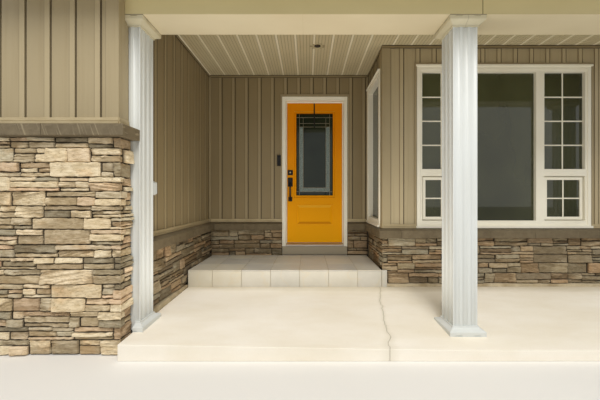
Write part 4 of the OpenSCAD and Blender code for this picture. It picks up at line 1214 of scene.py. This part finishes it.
half_bar = 0.0075
bar_t = 0.009
bar_edge = 0.0035
widest_barred = 0.7
least_upright = 0.8
bars = []
for low, high in separate_boxes("window_glass"):
    faces_sideways = high.y - low.y > high.x - low.x
    if faces_sideways or high.x - low.x > widest_barred:
        continue
    front, back = low.y - bar_t, low.y + 0.001
    middle, tall = (low.x + high.x) / 2, high.z - low.z
    bars.append(block((middle - half_bar, front, low.z), (middle + half_bar, back, high.z), bar_edge))
    rows = 4 if tall > least_upright else 2
    for k in range(1, rows):
        z = low.z + tall * k / rows
        bars.append(block((low.x, front + 0.0004, z - half_bar), (high.x, back, z + half_bar), bar_edge))
assemble("window_bars", bars, almond)

window_glass = Coat("window_glass", 0.03)
window_glass.shader.inputs["IOR"].default_value = 1.52
window_glass.shader.inputs["Transmission Weight"].default_value = 0.3
# Tinted dark olive: painted reflection and painted shade of the room behind.
window_glass.base(window_glass.noise(1.1, 3.0, stretch=(1.0, 1.0, 0.6)), (0.3, 0.7), (84, 86, 58),
                  (52, 54, 33))
window_glass.press(window_glass.noise(2.0, 1.0), 0.002, 0.3)
dress(window_glass, "window_glass")


# Beam, ceiling and lamp
# The beam is boxed in cream coated sheet, lapped and nailed. The ceiling is of pressed
# soffit panels with fine beads and rows of vent holes, and holds one small sunk lamp.
seam_x = 1.235
cream = soft_coat("cream_sheet", 0.45, (216, 203, 157), (204, 191, 145), 1.5, stretch=(0.5, 1.0, 1.0),
                  peel=None)
# A dark line along the lap's seam: painted shadow of the lap's edge.
cream.over(cream.apart(cream.along("X"), seam_x - 0.002), (0.0025, 0.005, 0.75, 0.0), (112, 100, 66))
cream.dull(cream.drift, 0.4, 0.52)
cream.press(cream.noise(0.9, 1.0, stretch=(1.0, 2.0, 2.0)), 0.01, 0.25)
cream.press(cream.noise(380.0, 2.0), 0.0002, 0.5)
dress(cream, "beam_cladding", "eave_board", "eave_soffit", edge=0.001)

timber = grained_coat("sawn_timber", 0.8, (206, 170, 118), (170, 130, 82), 0.001, 1.0, 5.0, 0.6,
                      (1.2, 26.0, 26.0), (0.3, 0.7))
dress(timber, "porch_beam")

soffit_sheet = soft_coat("soffit_panels", 0.5, (176, 163, 129), (164, 151, 117), peel=None)
hole_turn = math.tau / 0.0104
waves = [soffit_sheet.maths("SINE", soffit_sheet.maths("MULTIPLY", soffit_sheet.along(axis), hole_turn))
         for axis in "XY"]
holes = soffit_sheet.spread(soffit_sheet.maths("ADD", *waves), 1.25, 1.5)
soffit_sheet.over(holes, (0.0, 1.0, 0.0, 0.55), (80, 70, 48))
soffit_sheet.press(holes, -0.001)
soffit_sheet.press(soffit_sheet.noise(300.0, 2.0), 0.0002, 0.5)
dress(soffit_sheet, "alcove_ceiling", "porch_ceiling")

lamp_trim = Coat("lamp_trim", 0.35)
lamp_trim.base(lamp_trim.noise(30.0), None, (206, 192, 152), (188, 174, 136))
lamp_trim.press(lamp_trim.noise(200.0), 0.0002)
dress(lamp_trim, "ceiling_lamp")

rib_pitch = 0.208
rib_w = 0.003
boards_a_panel = 5
board_gap = 0.005
board_drop = 0.004
lip_w = 0.025
lip_drop = 0.007
lamp_low, lamp_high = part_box("ceiling_lamp")
lamp_x, lamp_y = (lamp_low.x + lamp_high.x) / 2, (lamp_low.y + lamp_high.y) / 2
lamp_clear = (lamp_high.x - lamp_low.x) / 2 + 0.001
board_pitch = (rib_pitch - rib_w - lip_w) / boards_a_panel
least_strip = 0.008
wall_gap = 0.008


def strip_runs(x0, x1, far):
    """Where a strip under the ceiling starts and stops: it is cut round the lamp."""
    aside = max(x0 - lamp_x, lamp_x - x1, 0.0)
    if aside >= lamp_clear:
        return [(beam_back, far)]
    cut = math.sqrt(lamp_clear ** 2 - aside ** 2)
    return [(beam_back, lamp_y - cut), (lamp_y + cut, far)]


boards, lips = [], []
alcove_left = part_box("alcove_ceiling")[0].x
for first_rib, left, right, far in (
        (alcove_left, alcove_left, alcove_face, door_face - wall_gap),
        (alcove_face - rib_pitch / 2, alcove_face, end_x, room_face - wall_gap)):
    for rib in np.arange(first_rib, right, rib_pitch):
        lip_x = rib + rib_w
        strips = [(lips, lip_x, lip_w, lip_drop)]
        strips += [(boards, lip_x + lip_w + k * board_pitch + board_gap, board_pitch - board_gap, board_drop)
                   for k in range(boards_a_panel)]
        for shells, strip_x, width, drop in strips:
            x0, x1 = max(strip_x, left), min(strip_x + width, right)
            if x1 - x0 < least_strip:
                continue
            for start, stop in strip_runs(x0, x1, far):
                low, high = (x0, start, ceiling_z - drop), (x1, stop, ceiling_z + 0.002)
                shells.append(block(low, high, drop * 0.6))
board_coat = soft_coat("soffit_boards", 0.45, (212, 200, 165), (200, 187, 151))
assemble("soffit_boards", boards, board_coat)
# The lips are paler than the boards: a painted highlight along each bead.
lip_highlight_coat = soft_coat("soffit_lips", 0.42, (246, 238, 212), (238, 228, 198))
assemble("soffit_lips", lips, lip_highlight_coat)


def sunk(profile):
    """A solid turned about the lamp's upright axis; the profile gives radius and height."""
    points, faces = turned(profile, (0.0, 0.0))
    return [(lamp_x + p[0], lamp_y + p[2], p[1] + ceiling_z + 0.001) for p in points], faces


can_wall = Coat("lamp_baffle", 0.6)
rings = put(can_wall.tree, "TexWave", {"Vector": can_wall.place(), "Scale": 40.0},
            bands_direction="Z").outputs["Fac"]
can_wall.base(rings, None, (24, 22, 20), (52, 48, 44))
can_wall.press(rings, 0.0008)
assemble("lamp_baffle", [sunk(((0.0345, -0.001), (0.0335, -0.001), (0.030, 0.012), (0.0275, 0.030),
                               (0.0275, 0.034), (0.0345, 0.034)))], can_wall)
lens = Coat("lamp_lens", 0.25)
lens.base(lens.noise(60.0), None, (238, 232, 214), (222, 214, 192))
lens.press(lens.noise(240.0), 0.0006)
assemble("lamp_lens", [sunk(((0.024, 0.031), (0.024, 0.012), (0.019, 0.007), (0.008, 0.005),
                             (0.005, 0.005), (0.005, 0.030)))], lens)

beam_low, beam_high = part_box("beam_cladding")
sheet_t = 0.0012
sheet_cut = 0.0004
front_y, under_z = beam_low.y - sheet_t, beam_low.z - sheet_t
assemble("beam_sheet_lap", [
    block((seam_x, front_y, under_z), (end_x, beam_low.y, beam_high.z), sheet_cut),
    block((seam_x + 0.001, front_y, under_z), (end_x, beam_high.y, beam_low.z), sheet_cut)],
    cream)
# The beam's underside sheet is paler than its front: painted light thrown up from the slab.
lit_underside_coat = soft_coat("beam_soffit_sheet", 0.45, (236, 224, 192), (226, 212, 178), 1.8,
                       stretch=(0.5, 1.0, 1.0), peel=380.0)
sheet_edges = [beam_low.x, -0.14, seam_x, 2.46, end_x]
half_lap = 0.0006
sheet_inset = 0.004
assemble("beam_soffit_sheet", [
    block((start + half_lap, beam_low.y + sheet_inset, beam_low.z - 2 * sheet_t),
          (stop - half_lap, beam_high.y - sheet_inset, beam_low.z - sheet_t / 2), sheet_cut)
    for start, stop in zip(sheet_edges, sheet_edges[1:])], lit_underside_coat)
first_nail, nail_pitch, nails_a_row = 0.18, 0.62, 9
nail_rows = (beam_low.z + 0.055, beam_high.z - 0.24)
nails = []
for x in (beam_low.x + first_nail + nail_pitch * k for k in range(nails_a_row)):
    y = front_y if x > seam_x else beam_low.y
    nail = ((0.0042, y + 0.001), (0.0042, y - 0.0005), (0.003, y - 0.0013), (0.0008, y - 0.0016))
    nails += [turned(nail, (x, z), sides=14) for z in nail_rows]
assemble("beam_nails", nails, cream)


# Columns
# Square fluted shafts of coated metal stand on ogee bases and carry ogee caps under the
# beam. Each cap and base is folded in two halves round its shaft.
white = soft_coat("satin_white", 0.38, (223, 227, 226), (214, 217, 213), 2.2, stretch=(1.0, 1.0, 0.5),
                  peel=420.0)
white.dull(white.drift, 0.32, 0.45)
dress(white, "pilaster", "middle_column", "end_column", "column_bases", edge=0.0015)

# The caps take a darker, creamier white than the shafts: painted shade under the beam.
cap_shade_coat = soft_coat("cap_white_painted_shade", 0.42, (218, 210, 182), (204, 195, 164), 6.0,
                      stretch=(1.0, 1.0, 2.0), peel=420.0)
from_top = cap_shade_coat.maths("SUBTRACT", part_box("column_caps")[1].z, cap_shade_coat.along("Z"))
# A dark line along each cap's top, under the beam: painted shadow.
cap_shade_coat.over(from_top, (0.005, 0.008, 0.75, 0.0), (98, 86, 60))
for name in ("middle_column", "end_column"):
    shaft_low, shaft_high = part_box(name)
    from_seam = cap_shade_coat.apart(cap_shade_coat.along("X"), (shaft_low.x + shaft_high.x) / 2)
    cap_shade_coat.over(from_seam, (0.0015, 0.003, 0.4, 0.0), (140, 128, 96))
dress(cap_shade_coat, "column_caps", edge=0.0015)


# Weatherproof outlet
# A white plastic cover on the left wall: a base plate with a hinged, ribbed lid over
# the socket and a small latch.
outlet_y = -0.68
outlet_foot, outlet_top = 1.173, 1.296
wall_x = left_face + 0.008
plate, lid, hinge, latch = 0.036, 0.032, 0.024, 0.010
outlet = [block((wall_x + back, outlet_y - half_w, low), (wall_x + front, outlet_y + half_w, high), cut)
          for back, front, half_w, low, high, cut in (
    (-0.006, 0.014, plate, outlet_foot, outlet_top, 0.003),
    (0.014, 0.040, lid, outlet_foot + 0.006, outlet_top - 0.008, 0.007),
    (0.012, 0.022, hinge, outlet_top - 0.009, outlet_top, 0.003),
    (0.026, 0.034, latch, outlet_foot - 0.002, outlet_foot + 0.010, 0.002))]
outlet += [block((wall_x + 0.038, outlet_y + side - 0.0015, outlet_foot + 0.02),
                 (wall_x + 0.0415, outlet_y + side + 0.0015, outlet_top - 0.022), 0.0008)
           for side in (-0.018, 0.0, 0.018)]
assemble("outlet_cover", outlet, white)


# Roof
# Sheathing board covered with mineral-faced shingles in straight courses, each course
# lapping the one below and its butt edge standing proud.
sheathing = grained_coat("sheathing_board", 0.8, (214, 182, 134), (184, 148, 100), 0.0008, 1.0, 5.0, 0.6,
                         (1.5, 22.0, 22.0), (0.3, 0.7))
dress(sheathing, "roof_boarding")

granules = Coat("mineral_shingle", 0.92)
specks = granules.noise(520.0, 3.0, 0.7)
granules.base(granules.mark("tone"), None, (98, 90, 82), (66, 61, 57))
granules.over(granules.noise(9.0), (0.4, 0.7, 0.0, 0.5), (82, 72, 62))
granules.over(specks, (0.56, 0.7, 0.0, 0.6), (140, 132, 120))
granules.press(specks, 0.0012)
cover_low, cover_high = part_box("roof_covering")
cover_t = 0.012
rise = (cover_high.z - cover_low.z - cover_t) / (cover_high.y - cover_low.y)
garage_roof_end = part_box("garage_front_wall")[1].y
room_roof_end = 0.194
roof_left = -1.634
alcove_roof_right = 0.891
least_shingle = 0.02
shingle_gap = 0.003
narrowest, widest = 0.16, 0.34
thin_butt, thick_butt = 0.0104, 0.0118
taper = 0.0078


def shingle(left, right, near, far, butt, head):
    """One shingle: thick at its butt edge, and thinner where the next course covers it."""
    points = []
    for y, under, top in ((near, 0.0066, butt - 0.001), (near + 0.004, 0.0066, butt), (far, 0.0004, head)):
        base = cover_low.z + (y - cover_low.y) * rise
        points += [(left, y, base + under), (right, y, base + under),
                   (right, y, base + top), (left, y, base + top)]
    return points, sleeve(3, 4)


roof_rng = np.random.default_rng(17)
shingles = []
for near, far, left, right, courses in (
        (cover_low.y, garage_roof_end, cover_low.x, cover_high.x, 4),
        (garage_roof_end, room_roof_end, roof_left, cover_high.x, 9),
        (room_roof_end, cover_high.y, roof_left, alcove_roof_right, 6)):
    step = (far - near) / courses
    lap = 1.35 * step
    for y0 in (near + course * step for course in range(courses)):
        y1 = min(y0 + lap, far)
        x = left - roof_rng.uniform(0.0, 0.2)
        while x < right:
            stop = x + roof_rng.uniform(narrowest, widest)
            low_x, high_x = max(x, left), min(stop - shingle_gap, right)
            x = stop
            if high_x - low_x < least_shingle:
                continue
            butt = roof_rng.uniform(thin_butt, thick_butt)
            shingles.append(shingle(low_x, high_x, y0, y1, butt, butt - taper * (y1 - y0) / lap))
assemble("shingle_courses", shingles, granules, stands_for=("roof_covering",),
         tones=roof_rng.random(len(shingles)))
